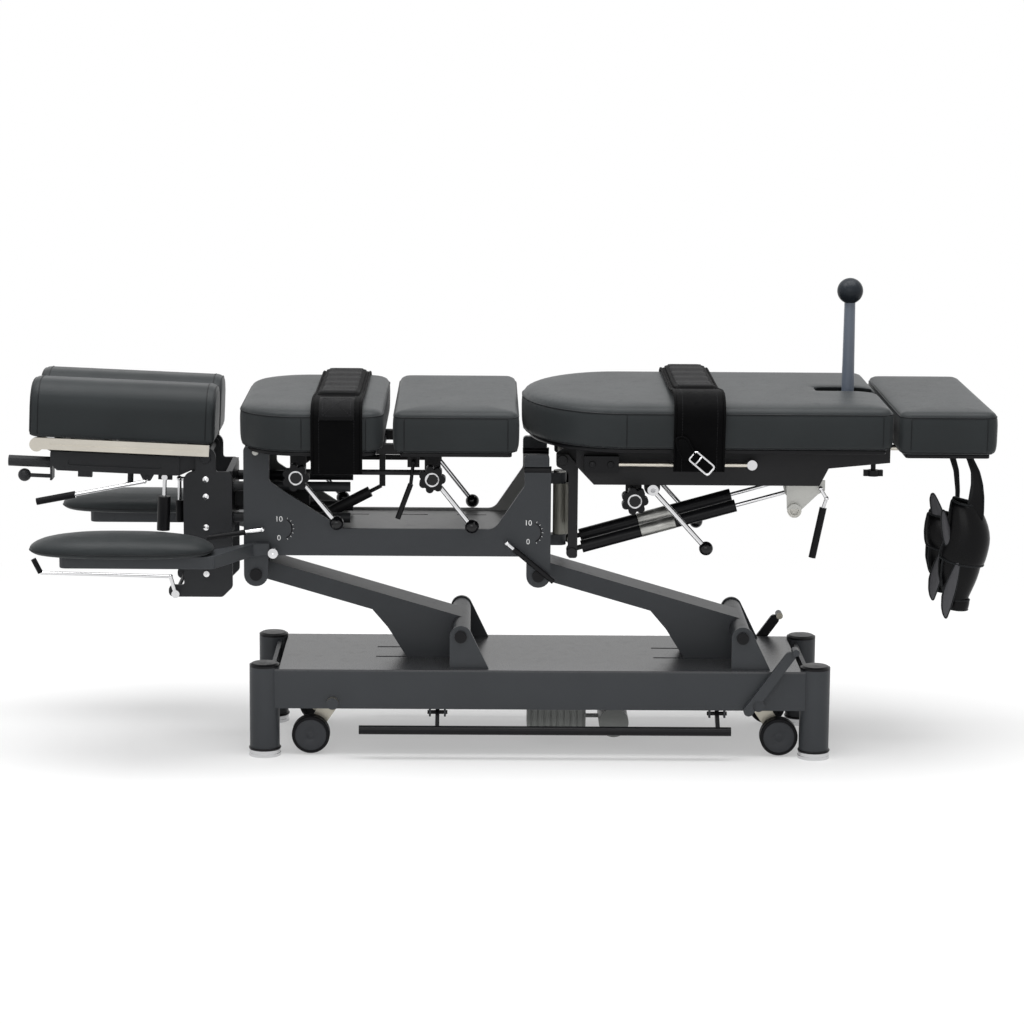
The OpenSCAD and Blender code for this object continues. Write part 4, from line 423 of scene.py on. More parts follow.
def skinned(rings, closed=False, shift=0):
    """Verts and faces of a skin through rings of equal count. Its ends are shut, or where it
    is closed the last ring joins the first, turned on by shift."""
    count, faces = len(rings[0]), []
    for i in range(len(rings) if closed else len(rings) - 1):
        a, b = i * count, (i + 1) % len(rings) * count
        on = shift if b == 0 else 0
        faces += [(a + k, a + (k + 1) % count, b + (k + 1 + on) % count, b + (k + on) % count)
                  for k in range(count)]
    if not closed:
        faces += [tuple(reversed(range(count))),
                  tuple(range((len(rings) - 1) * count, len(rings) * count))]
    return [p for ring in rings for p in ring], faces


def ring_shell(rings, surface, name):
    """A shut shell through rings of equal count."""
    return new_piece(name, *skinned(rings), surface)


def tube(points, radius, sides=8, closed=False):
    """Verts and faces of a round line through the points, in the points' own unit."""
    points = [Vector(p) for p in points]
    count = len(points)
    radii = radius if hasattr(radius, "__len__") else [radius] * count
    rings, side = [], None
    for i, here in enumerate(points):
        before = points[i - 1] if closed or i else here
        after = points[(i + 1) % count] if closed or i + 1 < count else here
        along = (after - before).normalized()
        if side is None:
            side = along.orthogonal().normalized()
        side = (side - along * side.dot(along)).normalized()
        up = along.cross(side)
        rings.append([here + radii[i] * (c * side + s * up) for c, s in full_turn(sides)])
    shift = min(range(sides), key=lambda k: (rings[-1][0] - rings[0][k]).length)
    return skinned(rings, closed, shift)


def joined(parts):
    """Several lots of verts and faces as one."""
    verts, faces = [], []
    for more, sides in parts:
        start = len(verts)
        verts += list(more)
        faces += [[start + k for k in face] for face in sides]
    return verts, faces


# ---------------------------------------------------------------- upholstery

VOXEL, LEG_VOXEL, ROLL_VOXEL, PAD_VOXEL = 6.5, 8.0, 5.5, 4.5
PUFF_FRAMES = 20
PUFFING = []
HALF_WIDE = 275
SEAM_DROP = 9
# how far the top edge, the hem, the seam and the side reach when a cover's points are chosen
TOP_REACH, HEM_REACH, SEAM_REACH, SIDE_REACH = 16.0, 14.0, 7.0, 40.0
# the share by which the loosest points of a cushion, a roll and an armrest pad are held,
# and how far any of their points may be blown out
CUSHION_HOLD, ROLL_HOLD, PAD_HOLD = 0.25, 0.3, 0.3
CUSHION_CAP, ROLL_CAP, PAD_CAP = 7.0, 6.0, 2.5
BASE_HELD = 4.0
WELT, HEM, UPRIGHT, PAD_WELT = 1.5, 1.2, 0.9, 1.3
RAY_REACH, SUNK = 60.0, 0.2


def inset_rings(outline, steps):
    """Rings round an outline, each drawn in by a step's inset at its height."""
    return [[at(*(p - n * inset), z) for p, n in zip(outline, outward(outline))]
            for inset, z in steps]


def remeshed(piece, size):
    """Even small faces all over, for the cloth to bend in."""
    change = piece.modifiers.new("even_faces", "REMESH")
    change.mode = "VOXEL"
    change.voxel_size = size * MM
    return take_mesh(piece, settled_mesh(piece))


def edge_distance(flat, outline):
    """How far each flat point lies from the outline."""
    best = np.full(len(flat), 1e9)
    line = np.array([tuple(p) for p in outline])
    after = np.roll(line, -1, axis=0)
    for a, b in zip(line, after):
        run = b - a
        share = np.clip(((flat - a) @ run) / max(run @ run, 1e-9), 0, 1)
        best = np.minimum(best, np.hypot(*(flat - a - share[:, None] * run).T))
    return best


def start_puff(piece, held, cap):
    """Readies a piece for the pressure that fills its cover; held is the pinned share."""
    pins = piece.vertex_groups.new(name="sewn")
    held = np.round(held, 2)
    for share in np.unique(held):
        pins.add([int(k) for k in np.nonzero(held == share)[0]], float(share), "REPLACE")
    cloth = piece.modifiers.new("cover", "CLOTH")
    rules = cloth.settings
    rules.quality = 6
    rules.mass = 0.3
    rules.tension_stiffness = rules.compression_stiffness = 25
    rules.shear_stiffness = 12
    rules.bending_stiffness = 3
    rules.use_pressure = True
    rules.uniform_pressure_force = 4
    rules.effector_weights.gravity = 0
    rules.vertex_group_mass = "sewn"
    cloth.point_cache.frame_start, cloth.point_cache.frame_end = 1, PUFF_FRAMES
    PUFFING.append((piece, cap))


def run_puffs():
    """Fills every cover at once and keeps each point within its cap."""
    scene = bpy.context.scene
    scene.frame_start, scene.frame_end = 1, PUFF_FRAMES
    for step in range(1, PUFF_FRAMES + 1):
        scene.frame_set(step)
    for piece, cap in PUFFING:
        rest = points_of(piece.data)
        filled = settled_mesh(piece)
        move = points_of(filled) - rest
        size = np.linalg.norm(move, axis=1)
        limit = cap * MM
        move *= (limit * np.tanh(size / limit) / np.maximum(size, 1e-9))[:, None]
        put_points(filled, rest + move)
        take_mesh(piece, filled)
        piece.vertex_groups.clear()
    scene.frame_set(1)


def surface_of(piece):
    """What rays are cast at to lay seams and straps on a piece."""
    mesh = piece.data
    return BVHTree.FromPolygons([v.co for v in mesh.vertices],
                                [list(p.vertices) for p in mesh.polygons])


def hit(surface, origin, way, miss):
    """Where a ray from outside meets the surface, or the point given for a miss."""
    found = surface.ray_cast(origin, way)[0]
    return found if found is not None else miss


def smoothed(points):
    """Takes the small steps out of a laid closed line."""
    for _ in range(2):
        points = [(points[i - 1] + here * 2 + points[(i + 1) % len(points)]) / 4
                  for i, here in enumerate(points)]
    return points


def cushion_shape(name, outline, z0, z1, crown, voxel=VOXEL, crown_reach=75.0, notch=()):
    """A flat-based cushion whose top swells, before its cover is filled. A notch is a span
    of the outline that the crown ignores, so that no ridge runs from it."""
    shell = ring_shell(inset_rings(outline, side_profile(z0, z1)), CHARCOAL_HIDE, name)
    piece = remeshed(shell, voxel)
    points = points_of(piece.data)
    flat = points[:, :2] / MM - np.array([[MID_X / MM, 0.0]])
    height = points[:, 2] / MM
    full = [p for p in outline
            if not (notch and notch[0] < p.x < notch[1] and abs(p.y) < notch[2])]
    rise = np.clip((height - (z1 - TOP_REACH)) / TOP_REACH, 0, 1)
    swell = 1 - (1 - np.clip(edge_distance(flat, full) / crown_reach, 0, 1)) ** 2.2
    points[:, 2] += crown * MM * swell * rise
    put_points(piece.data, points)
    hem = np.clip(1 - (height - z0) / HEM_REACH, 0, 1)
    seam = np.clip(1 - abs(height - (z1 - SEAM_DROP)) / SEAM_REACH, 0, 1)
    held = np.clip(hem + seam, 0, 1) * (edge_distance(flat, outline) < SIDE_REACH)
    held = np.maximum(held, (height < z0 + BASE_HELD) * 1.0)
    start_puff(piece, np.maximum(held, CUSHION_HOLD), CUSHION_CAP)
    return piece


def side_profile(z0, z1):
    """A cushion's side: how far it is drawn in at each height."""
    rows = [(9, z0), (2.5, z0 + 5), (0.5, z0 + 20), (0, z1 - 24), (1, z1 - 10), (3.5, z1 - 4),
            (10, z1)]
    return [(inset - 0.5, z) for inset, z in rows]


def laid_point(surface, p, n, z, out=SUNK):
    """A point of the outline p, with its normal n, laid on a cushion's side at a height."""
    way = Vector((-n.x, -n.y, 0))
    return hit(surface, at(*(p + n * RAY_REACH), z), way, at(*p, z)) - way * out * MM


def ring_line(surface, outline, z, out=SUNK):
    """A line round a cushion at one height, lying on its surface."""
    return smoothed([laid_point(surface, p, n, z, out)
                     for p, n in zip(outline, outward(outline))])


def sew_cushion(name, piece, outline, seam_z, low_z, corner_spots, body):
    """The welt round a cushion's top edge, the hem under it and its upright seams."""
    surface, normals = surface_of(piece), outward(outline)
    parts = [tube(ring_line(surface, outline, seam_z), WELT * MM, closed=True),
             tube(ring_line(surface, outline, low_z, 0.0), HEM * MM, closed=True)]
    for spot in corner_spots:
        k = min(range(len(outline)), key=lambda i: (outline[i] - Vector(spot)).length)
        line = [laid_point(surface, outline[k], normals[k], low_z + (seam_z - low_z) * i / 8)
                for i in range(9)]
        parts.append(tube(line, UPRIGHT * MM, sides=6))
    fitted(name, joined(parts), DARK_PIPING, body, "hide")


def board_under(name, outline, z0, z1, inset, body):
    """The plywood board that a cushion is stapled to."""
    steps = ((inset + 1, z0), (inset, z0 + 1), (inset, z1 - 1), (inset + 1, z1))
    fit_piece(ring_shell(inset_rings(outline, steps), BLACK_MOULDED, name), body, "black")


def leg_outline():
    """The leg cushion seen from above: a half-ellipse nose and a notch at the foot end."""
    nose_x, nose_long, notch_x, notch_half, foot_x = 161, 200, 549, 38, 680
    nose = [Vector((nose_x - nose_long * cos(a), HALF_WIDE * sin(a)))
            for a in [(pi / 2) - pi * k / 60 for k in range(61)]]
    near, foot_near, foot_far, far = four_corners(nose_x, foot_x, HALF_WIDE)
    notch = [(foot_x, -notch_half), (notch_x, -notch_half), (notch_x, notch_half),
             (foot_x, notch_half)]
    ends = rounded([near, foot_near, *notch, foot_far, far], [0, 22, 6, 16, 16, 6, 22, 0])
    return spaced([p for p in ends if p.x > nose_x + 0.5] + nose, 6.0)


# the X span and corner radii of the outline, or the outline itself, the base, top and crown,
# and the X of the upright seams
CUSHION_ROWS = (
    ("chest", (-595, -311), [120, 45, 45, 120], 633, 712, 7, (-470, -345)),
    ("pelvic", (-292, -47), [22] * 4, 633, 712, 7, (-270, -69)),
    ("leg", None, None, 643, 722, 7, (160, 658)),
    ("foot", (690, 882), [22] * 4, 636, 718, 3.5, (712, 860)),
)
CUSHIONS = {
    label: (rounded(four_corners(*span, HALF_WIDE), radii) if span else leg_outline(),
            z0, z1, crown, four_corners(*seams, HALF_WIDE))
    for label, span, radii, z0, z1, crown, seams in CUSHION_ROWS}
LEG_WAY = {"voxel": LEG_VOXEL, "crown_reach": 60.0, "notch": (500, 679, 60)}
COVERS = {label: cushion_shape(label + "_cushion_cover", outline, z0, z1, crown,
                               **(LEG_WAY if label == "leg" else {}))
          for label, (outline, z0, z1, crown, spots) in CUSHIONS.items()}

# Face cushions: two half-round rolls on the tilting head
HEAD_TILT = radians(2.3)
HEAD_X, HEAD_Z = -669, 594


def in_head(x, y, z):
    """A point given on the tilted head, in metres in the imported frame."""
    return at(HEAD_X + x * cos(HEAD_TILT) + z * sin(HEAD_TILT), y,
              HEAD_Z - x * sin(HEAD_TILT) + z * cos(HEAD_TILT))


ROLL_X0, ROLL_X1 = -348, 19
ROLL_Y, ROLL_HALF = 72, 68
ROLL_Z0, ROLL_Z1 = 31.5, 145.5
ROLL_RING = rounded([(-ROLL_HALF, ROLL_Z0), (ROLL_HALF, ROLL_Z0), (ROLL_HALF, ROLL_Z1),
                     (-ROLL_HALF, ROLL_Z1)], [9, 9, 54, 54], 5.0)
ROLL_ENDS = ((9, 0), (3.5, 4), (1, 12))
ROLL_SEAM = 18


def roll_shape(name, side):
    """One face roll, before its cover is filled."""
    normals = outward(ROLL_RING)
    stations = [(d, ROLL_X0 + x) for d, x in ROLL_ENDS]
    stations += [(d, ROLL_X1 - x) for d, x in reversed(ROLL_ENDS)]
    rings = [[in_head(x, side * ROLL_Y + (p - n * d).x, (p - n * d).y)
              for p, n in zip(ROLL_RING, normals)] for d, x in stations]
    piece = remeshed(ring_shell(rings, CHARCOAL_HIDE, name), ROLL_VOXEL)
    points = points_of(piece.data) / MM - np.array([[MID_X / MM + HEAD_X, 0.0, HEAD_Z]])
    along = points[:, 0] * cos(HEAD_TILT) - points[:, 2] * sin(HEAD_TILT)
    up = points[:, 0] * sin(HEAD_TILT) + points[:, 2] * cos(HEAD_TILT)
    held = np.zeros(len(points))
    for seam in (ROLL_X0 + 3, ROLL_X0 + ROLL_SEAM, ROLL_X1 - ROLL_SEAM, ROLL_X1 - 3):
        held = np.maximum(held, np.clip(1 - abs(along - seam) / 6.0, 0, 1))
    held = np.maximum(held, (up < ROLL_Z0 + 6) * 1.0)
    start_puff(piece, np.maximum(held, ROLL_HOLD), ROLL_CAP)
    return piece


ROLLS = {label: roll_shape(label + "_face_roll_cover", side) for label, side in SIDES}

# Armrest pads: thin domed pads on a steel bar
ARM_MID_X, ARM_LONG, ARM_Y, ARM_HALF, ARM_Z0 = -820, 180, 255, 75, 430
PAD_RINGS = ((0.80, 0), (0.93, 1), (0.985, 5), (1.0, 10), (0.985, 16), (0.94, 22), (0.86, 28),
             (0.74, 33), (0.56, 37.5), (0.34, 40), (0.12, 41.5))


def arm_outline(side):
    """An armrest pad seen from above."""
    line = []
    for c, s in full_turn(96):
        across, along = abs(c) ** 0.8, abs(s) ** 0.8
        line.append(Vector((ARM_MID_X + ARM_LONG * across * (1 if c > 0 else -1),
                            side * ARM_Y + ARM_HALF * along * (1 if s > 0 else -1))))
    return spaced(line, 5.0)


def pad_shape(name, side):
    """An armrest pad: a lens with thin ends, before its cover is filled."""
    rings = []
    for share, z in PAD_RINGS:
        rings.append([at(ARM_MID_X + (p.x - ARM_MID_X) * share,
                         side * ARM_Y + (p.y - side * ARM_Y) * share, ARM_Z0 + z)
                      for p in arm_outline(side)])
    piece = remeshed(ring_shell(rings, CHARCOAL_HIDE, name), PAD_VOXEL)
    height = points_of(piece.data)[:, 2] / MM
    held = np.maximum(np.clip(1 - (height - ARM_Z0) / SEAM_DROP, 0, 1), PAD_HOLD)
    start_puff(piece, held, PAD_CAP)
    return piece


PADS = {label: pad_shape(label + "_armrest_pad_cover", side) for label, side in SIDES}

run_puffs()

for label, (outline, z0, z1, crown, spots) in CUSHIONS.items():
    cover, body = COVERS[label], label + "_section"
    sew_cushion(label + "_cushion_piping", cover, outline, z1 - SEAM_DROP, z0 + 4, spots, body)
    board_under(label + "_cushion_board", outline, z0 - 8, z0, 14, body)
    fit_piece(cover, body, "hide", label + "_cushion")


def ring_round_roll(surface, side, x, radius):
    """A seam round one face roll."""
    line = []
    for p, n in zip(ROLL_RING, outward(ROLL_RING)):
        start = in_head(x, side * ROLL_Y + (p + n * 40).x, (p + n * 40).y)
        goal = in_head(x, side * ROLL_Y + p.x, p.y)
        way = (goal - start).normalized()
        line.append(hit(surface, start, way, goal) - way * SUNK * MM)
    return tube(smoothed(line), radius * MM, closed=True)


for label, side in SIDES:
    surface = surface_of(ROLLS[label])
    seams = [ring_round_roll(surface, side, x, r) for x, r in
             ((ROLL_X0 + 3.5, 1.3), (ROLL_X0 + ROLL_SEAM, 1.0), (ROLL_X1 - ROLL_SEAM, 1.0),
              (ROLL_X1 - 3.5, 1.3))]
    fitted(label + "_face_roll_seams", joined(seams), DARK_PIPING, "head_drop", "hide")
    fit_piece(ROLLS[label], "head_drop", "hide", *(["face_cushions"] if side == NEAR else []))


def armrest_steel(name, side):
    """The deep steel bar under an armrest pad and the arm that it swings on."""
    plate = [(-940, 223.5), (-658.7, 223.5), (-574.3, 133), (-540.6, 133), (-540.6, 141),
             (-570.6, 149), (-640, 286.5), (-940, 286.5)]
    corners = [Vector((x, side * y)) for x, y in plate]
    outline = rounded(corners, [14, 8, 4, 0, 0, 8, 12, 14], 8.0)
    rings = inset_rings(outline, ((1, 405), (0, 406), (0, 429), (1, 430)))
    if side == FAR:
        rings = [list(reversed(ring)) for ring in rings]
    steel = ring_shell(rings, FRAME_POWDER, name)
    steel.data.polygons.foreach_set("use_smooth", [False] * len(steel.data.polygons))
    return steel


for label, side in SIDES:
    pad, body = PADS[label], label + "_armrest"
    welt = ring_line(surface_of(pad), arm_outline(side), ARM_Z0 + SEAM_DROP)
    fitted(label + "_armrest_pad_piping", tube(welt, PAD_WELT * MM, closed=True), DARK_PIPING,
           body, "hide")
    fit_piece(pad, body, "hide", label + "_armrest")
    fit_piece(armrest_steel(label + "_armrest_steel", side), body, "frame")


# ---------------------------------------------------------------- straps

STRAP_THICK, STRAP_WIDE, STRAP_COLUMNS, STRAP_GAP = 3.5, 95, 15, 1.0
STRAP_PAD_THICK, ELASTIC_THICK, BINDING_RADIUS = 7.5, 1.8, 2.6
# how far above a cushion's base the strap starts to lie on it, and the rows past the pad
STRAP_FREE, ROWS_PAST_PAD = 14, 24


def strap_path(z_low, z_top):
    """Where rays are cast from, round the section of a cushion: points and the way out."""
    half, bend = float(HALF_WIDE), 28.0
    rows = [((-half, z), (-1.0, 0.0)) for z in np.arange(z_low, z_top - bend, 7.0)]
    for k in range(9):
        a = pi - (pi / 2) * k / 8
        rows.append(((-half + bend + bend * cos(a), z_top - bend + bend * sin(a)),
                     (cos(a), sin(a))))
    over = [((y, z_top), (0.0, 1.0)) for y in np.arange(-half + bend + 9, half - bend, 9.0)]
    mirrored = [((-y, z), (-ny, nz)) for (y, z), (ny, nz) in reversed(rows)]
    return rows + over + mirrored


def strap_stand(y, z, z_low, z_top, shoulder, crown):
    """How far the stiff strap stands off the cushion: most at its near shoulder."""
    if z > z_top - 1:
        near = min(1.0, max(0.0, (-y - 60) / 180.0))
        return crown + (shoulder - crown) * near * near * (3 - 2 * near)
    side = min(1.0, max(0.0, (z - z_low - 40) / (z_top - 40 - z_low)))
    return (shoulder if y < 0 else crown) * side * side


def strap_rows(surface, x0, x1, z_low, z_cushion, z_top, shoulder, crown):
    """The strap's middle layer as rows of points, with the way out at each row."""
    grid, ways = [], []
    for (y, z), (ny, nz) in strap_path(z_low, z_top):
        way_in = Vector((0, -ny, -nz))
        row = []
        for k in range(STRAP_COLUMNS):
            x = x0 + (x1 - x0) * k / (STRAP_COLUMNS - 1)
            start = at(x, y + ny * 60, z + nz * 60)
            point = at(x, y, z)
            if z >= z_cushion + STRAP_FREE:
                point = hit(surface, start, way_in, point)
            stand = STRAP_GAP + STRAP_THICK / 2 + strap_stand(y, z, z_low, z_top, shoulder, crown)
            row.append(point - way_in * stand * MM)
        grid.append(row)
        ways.append(-way_in)
    return grid, ways


def tidy_rows(grid):
    """A pulled strap runs smooth along its length and level across it."""
    pts = np.array([[tuple(p) for p in row] for row in grid])
    for _ in range(6):
        pts[1:-1] = (pts[:-2] + 2 * pts[1:-1] + pts[2:]) / 4
    level = pts.mean(axis=1, keepdims=True)
    pts[:, :, 1:] = level[:, :, 1:] * 0.7 + pts[:, :, 1:] * 0.3
    return pts


def band(name, pts, ways, thick, surface_finish, edge=0.35):
    """A flat band with rounded edges through rows of points."""
    shares = np.ones(pts.shape[1])
    shares[[0, -1]] = edge
    rings = []
    for row, way in zip(pts, ways):
        half = np.array(way) * thick * MM * 0.5 * shares[:, None]
        rings.append([*(row + half), *(row - half)[::-1]])
    return ring_shell(rings, surface_finish, name)


def sewn_run(points, way, length=4.0, gap=1.4, radius=0.38):
    """Stitches along a line of points, each a short thread that dips at its ends."""
    parts, walked, line = [], 0.0, [Vector(p) for p in points]
    total = sum((line[i + 1] - line[i]).length for i in range(len(line) - 1)) / MM

    def spot(s):
        """The point at a length along the line, and the number of its stretch."""
        run = 0.0
        for i in range(len(line) - 1):
            step = (line[i + 1] - line[i]).length / MM
            if run + step >= s:
                return line[i].lerp(line[i + 1], (s - run) / step), i
            run += step
        return line[-1], len(line) - 2

    while walked + length < total:
        start, i = spot(walked)
        middle, _ = spot(walked + length / 2)
        end, _ = spot(walked + length)
        out = Vector(way[min(i, len(way) - 1)]) * MM
        parts.append(tube([start - out * 0.2, middle + out * 0.35, end - out * 0.2],
                          [radius * MM * 0.7, radius * MM, radius * MM * 0.7], sides=5))
        walked += length + gap
    return parts


def ribs(pts, ways, pitch, depth):
    """The gathered ribs that run across an elastic band."""
    raised = pts.copy()
    for i in range(len(pts)):
        raised[i] += np.array(ways[i]) * depth * MM * sin(2 * pi * i / pitch)
    return raised


def cross_stitches(rows, ways, first, last, low, high, lift):
    """A sewn box with a cross in it."""
    def spot(u, v):
        """A point of the box, from nought to one across it and along it."""
        i = first + (last - first) * v
        j = low + (high - low) * u
        a, b = int(i), int(j)
        here, on = (rows[k, b] * (1 - (j - b)) + rows[k, min(b + 1, high)] * (j - b)
                    for k in (a, a + 1))
        return Vector(here * (1 - (i - a)) + on * (i - a) + np.array(ways[a]) * lift * MM)

    count = 2 * (last - first)
    frame_runs = [((0, 0), (1, 0)), ((1, 0), (1, 1)), ((1, 1), (0, 1)), ((0, 1), (0, 0)),
                  ((0, 0), (1, 1)), ((0, 1), (1, 0))]
    made = []
    for (u0, v0), (u1, v1) in frame_runs:
        line = [spot(u0 + (u1 - u0) * k / count, v0 + (v1 - v0) * k / count)
                for k in range(count + 1)]
        made += sewn_run(line, [ways[(first + last) // 2]] * len(line), radius=0.5)
    return made


def laid_on(rows, ways, rise):
    """Rows of points moved out along their ways."""
    return rows + np.array(ways)[:, None, :] * rise * MM


def sew_strap(label, x0, x1, z_low, z_cushion, z_top, shoulder, crown, pad_from):
    """A strap over a cushion, with its pad, gathered elastic, bound edges and stitches."""
    body = label + "_section"
    rows, ways = strap_rows(surface_of(COVERS[label]), x0, x1, z_low, z_cushion, z_top,
                            shoulder, crown)
    rows = tidy_rows(rows)
    strap = band(label + "_strap_band", rows, ways, STRAP_THICK, STRAP_CLOTH)
    fit_piece(strap, body, "web", label + "_strap")
    lifted = laid_on(rows, ways, STRAP_THICK * 0.5)
    threads = [stitch for column in (2, STRAP_COLUMNS - 3)
               for stitch in sewn_run(lifted[:, column], ways)]
    # the pad and its elastic lie over the top and thin out at both ends
    start = next(i for i, way in enumerate(ways) if way.z > 0.99) + pad_from
    stop = len(rows) - ROWS_PAST_PAD
    ease = np.minimum(1, np.minimum(np.arange(stop - start), np.arange(stop - start)[::-1]) / 3.0)
    ease = (ease * (2 - ease))[:, None, None]
    padded = laid_on(rows[start:stop, 1:-1], ways[start:stop], 5.5 * ease - 3.0 * (1 - ease))
    raised = laid_on(rows[start:stop, 2:-2], ways[start:stop], 9.6 * ease + 1.0 * (1 - ease))
    gathered = ribs(raised[1:-1], ways[start + 1:stop - 1], 8.0, 0.9)
    bound = [tube(rows[:, column], BINDING_RADIUS * MM) for column in (0, -1)]
    pad = band(label + "_strap_pad", padded, ways[start:stop], STRAP_PAD_THICK, STRAP_CLOTH, 0.5)
    elastic = band(label + "_strap_elastic", gathered, ways[start + 1:stop - 1], ELASTIC_THICK,
                   STRAP_ELASTIC)
    extra = [elastic, pad, new_piece(label + "_strap_binding", *joined(bound), STRAP_CLOTH)]
    if label == "chest":
        first, last = start - 13, start - 3
        patch = laid_on(rows[first:last, 2:-2], ways[first:last], 3.0)
        extra.append(band("chest_strap_patch", patch, ways[first:last], ELASTIC_THICK,
                          STRAP_ELASTIC))
        threads += cross_stitches(rows, ways, first + 1, last - 2, 3, STRAP_COLUMNS - 4, 4.0)
    stitches = new_piece(label + "_strap_stitches", *joined(threads), STITCH_THREAD)
    for piece in (*extra, stitches):
        fit_piece(piece, body, "web")


# x span, lowest point, cushion base, top, stand at the near shoulder and over the top, and
# the rows from the shoulder to the pad
sew_strap("chest", -448, -353, 593, 633, 719, 12, 4, 6)
sew_strap("leg", 254, 349, 602, 643, 729, 20, 5, 9)


def sewn_panel(name, rows, surface_finish, thick):
    """A sewn panel through rows of points, given thickness, and the tube that edges it."""
    count, columns = len(rows), len(rows[0])
    verts = [p for row in rows for p in row]
    faces = [(i * columns + k, i * columns + k + 1, (i + 1) * columns + k + 1,
              (i + 1) * columns + k) for i in range(count - 1) for k in range(columns - 1)]
    piece = new_piece(name, verts, faces, surface_finish)
    wall = piece.modifiers.new("wall", "SOLIDIFY")
    wall.thickness, wall.offset = thick * MM, 0
    smooth = piece.modifiers.new("soft", "SUBSURF")
    smooth.levels = smooth.render_levels = 1
    take_mesh(piece, settled_mesh(piece))
    border = [rows[0][k] for k in range(columns)]
    border += [rows[i][-1] for i in range(1, count)]
    border += [rows[-1][k] for k in reversed(range(columns - 1))]
    border += [rows[i][0] for i in reversed(range(1, count - 1))]
    return piece, tube(smoothed(spaced(border, 3 * MM)), thick * 0.75 * MM, closed=True)


# the folded tail's rows: Y, then X and Z at its left, middle and right
TAIL_FOLD = ((-285.5, ((256, 668), (266, 672), (277, 668))),
             (-287.5, ((258, 652), (272, 652), (286, 650))),
             (-288.5, ((262, 640), (278, 638), (294, 634))),
             (-286.5, ((270, 628), (286, 624), (304, 618))))


def leg_buckle():
    """The ladder buckle that tightens the leg strap, with the strap's folded tail."""
    turn = radians(-40)

    def spot(u, v, y):
        """A point of the turned buckle."""
        return at(306 + u * cos(turn) - v * sin(turn), y, 620 + u * sin(turn) + v * cos(turn))

    loop = rounded(four_corners(-24, 24, 11), [4] * 4, 3.0)
    wires = [tube([spot(p.x, p.y, -287.5) for p in loop], 2.2 * MM, closed=True),
             tube([spot(-8, -11, -287.5), spot(-8, 0, -289), spot(-8, 11, -287.5)], 1.8 * MM)]
    fitted("leg_strap_buckle", joined(wires), BRIGHT_CHROME, "leg_section", "chrome")
    fold = [[at(x, y, z) for x, z in row] for y, row in TAIL_FOLD]
    tail, edge = sewn_panel("leg_strap_tail", fold, STRAP_CLOTH, 3.0)
    fit_piece(tail, "leg_section", "web")
    fitted("leg_strap_tail_edge", edge, STRAP_CLOTH, "leg_section", "web")


leg_buckle()


# ---------------------------------------------------------------- boots

BOOT_Y, BOOT_HINGE_Z = 90, 619
# how far the tongue and the flap hang behind the boot's middle and out from it
LEAF_BACK, TONGUE_OUT, FLAP_OUT = 14, 36, 20
ACROSS = (0, 0.25, 0.5, 0.75, 1)


def shell_rows(x, y, rows, turns):
    """Points of a wrapped panel: each row gives a height at its middle and at its ends,
    its half width and depth, and how far it leans along X."""
    made = []
    for middle, ends, half, deep, lean in rows:
        row = []
        for k in range(25):
            share = k / 24
            a = radians(turns[0] + (turns[1] - turns[0]) * share)
            rise = abs(2 * share - 1) ** 2.2
            row.append(at(x + lean + half * cos(a), y + deep * sin(a),
                          middle + (ends - middle) * rise))
        made.append(row)
    return made


def leaf_rows(x, y, stations):
    """A hanging tongue: each station gives its height, width, place along X and curl."""
    return [[at(x + place + (u - 0.5) * width, y - 3.0 - curl * (1 - abs(2 * u - 1) ** 2), z)
             for u in ACROSS] for z, width, place, curl in stations]


def hanger_rows(x, y, stations):
    """A boot's strap, hung from its hinge: each station gives height, width and place."""
    return [[at(x + place + (u - 0.5) * width, y - 24 * min(1, (BOOT_HINGE_Z - z) / 100), z)
             for u in ACROSS] for z, width, place in stations]


# each row gives a height at the middle and at the ends, half width, depth and lean
LOWER_SHELL = [(296, 300, 19, 17, -1), (314, 318, 21, 19, -1), (334, 338, 31, 28, -2),
               (360, 364, 40, 36, 0), (386, 390, 43, 39, 3), (410, 414, 42, 38, 8),
               (432, 438, 39, 36, 12)]
FOOT_BAND = [(294, 298, 21, 19, 2), (304, 308, 23, 21, 2), (314, 318, 24, 22, 2)]
TONGUE = [(406, 5, 12, 0), (396, 9, 9, 2), (372, 18, 2, 4), (350, 23, -4, 5), (329, 24, -9, 4),
          (306, 18, -12, 2), (292, 10, -13, 1), (284, 3, -12, 0)]
# the near boot hangs open at the top on a strap that widens into it, and the far one is
# turned so that its inner flap stands up and its strap is seen from the edge
NEAR_CUFF = [(386, 406, 47, 41, 4), (398, 416, 48, 43, 7), (418, 432, 48, 44, 12),
             (440, 452, 46, 43, 17), (466, 478, 42, 39, 16), (490, 502, 35, 33, 12),
             (508, 520, 28, 26, 9)]
FAR_CUFF = [(380, 396, 47, 41, 4), (394, 408, 48, 43, 2), (414, 424, 47, 42, 0),
            (436, 442, 42, 39, -3), (452, 462, 35, 33, -5)]
NEAR_FLAP = [(500, 4, -22, 0), (486, 11, -20, 3), (466, 16, -16, 6), (446, 18, -12, 7),
             (428, 11, -10, 4)]
FAR_FLAP = [(503, 5, -17, 0), (492, 14, -15, 3), (476, 20, -10, 6), (458, 24, -4, 7),
            (438, 22, 0, 6), (414, 12, 4, 4)]
NEAR_STRAP = [(478, 33, 27), (502, 32, 28), (526, 28, 30), (552, 21, 31), (576, 15, 28),
              (600, 11, 18), (619, 9, 7)]
FAR_STRAP = [(450, 5, 34), (478, 5, 35), (510, 6, 35), (550, 8, 32), (585, 10, 22),
             (605, 11, 14), (619, 10, 7)]


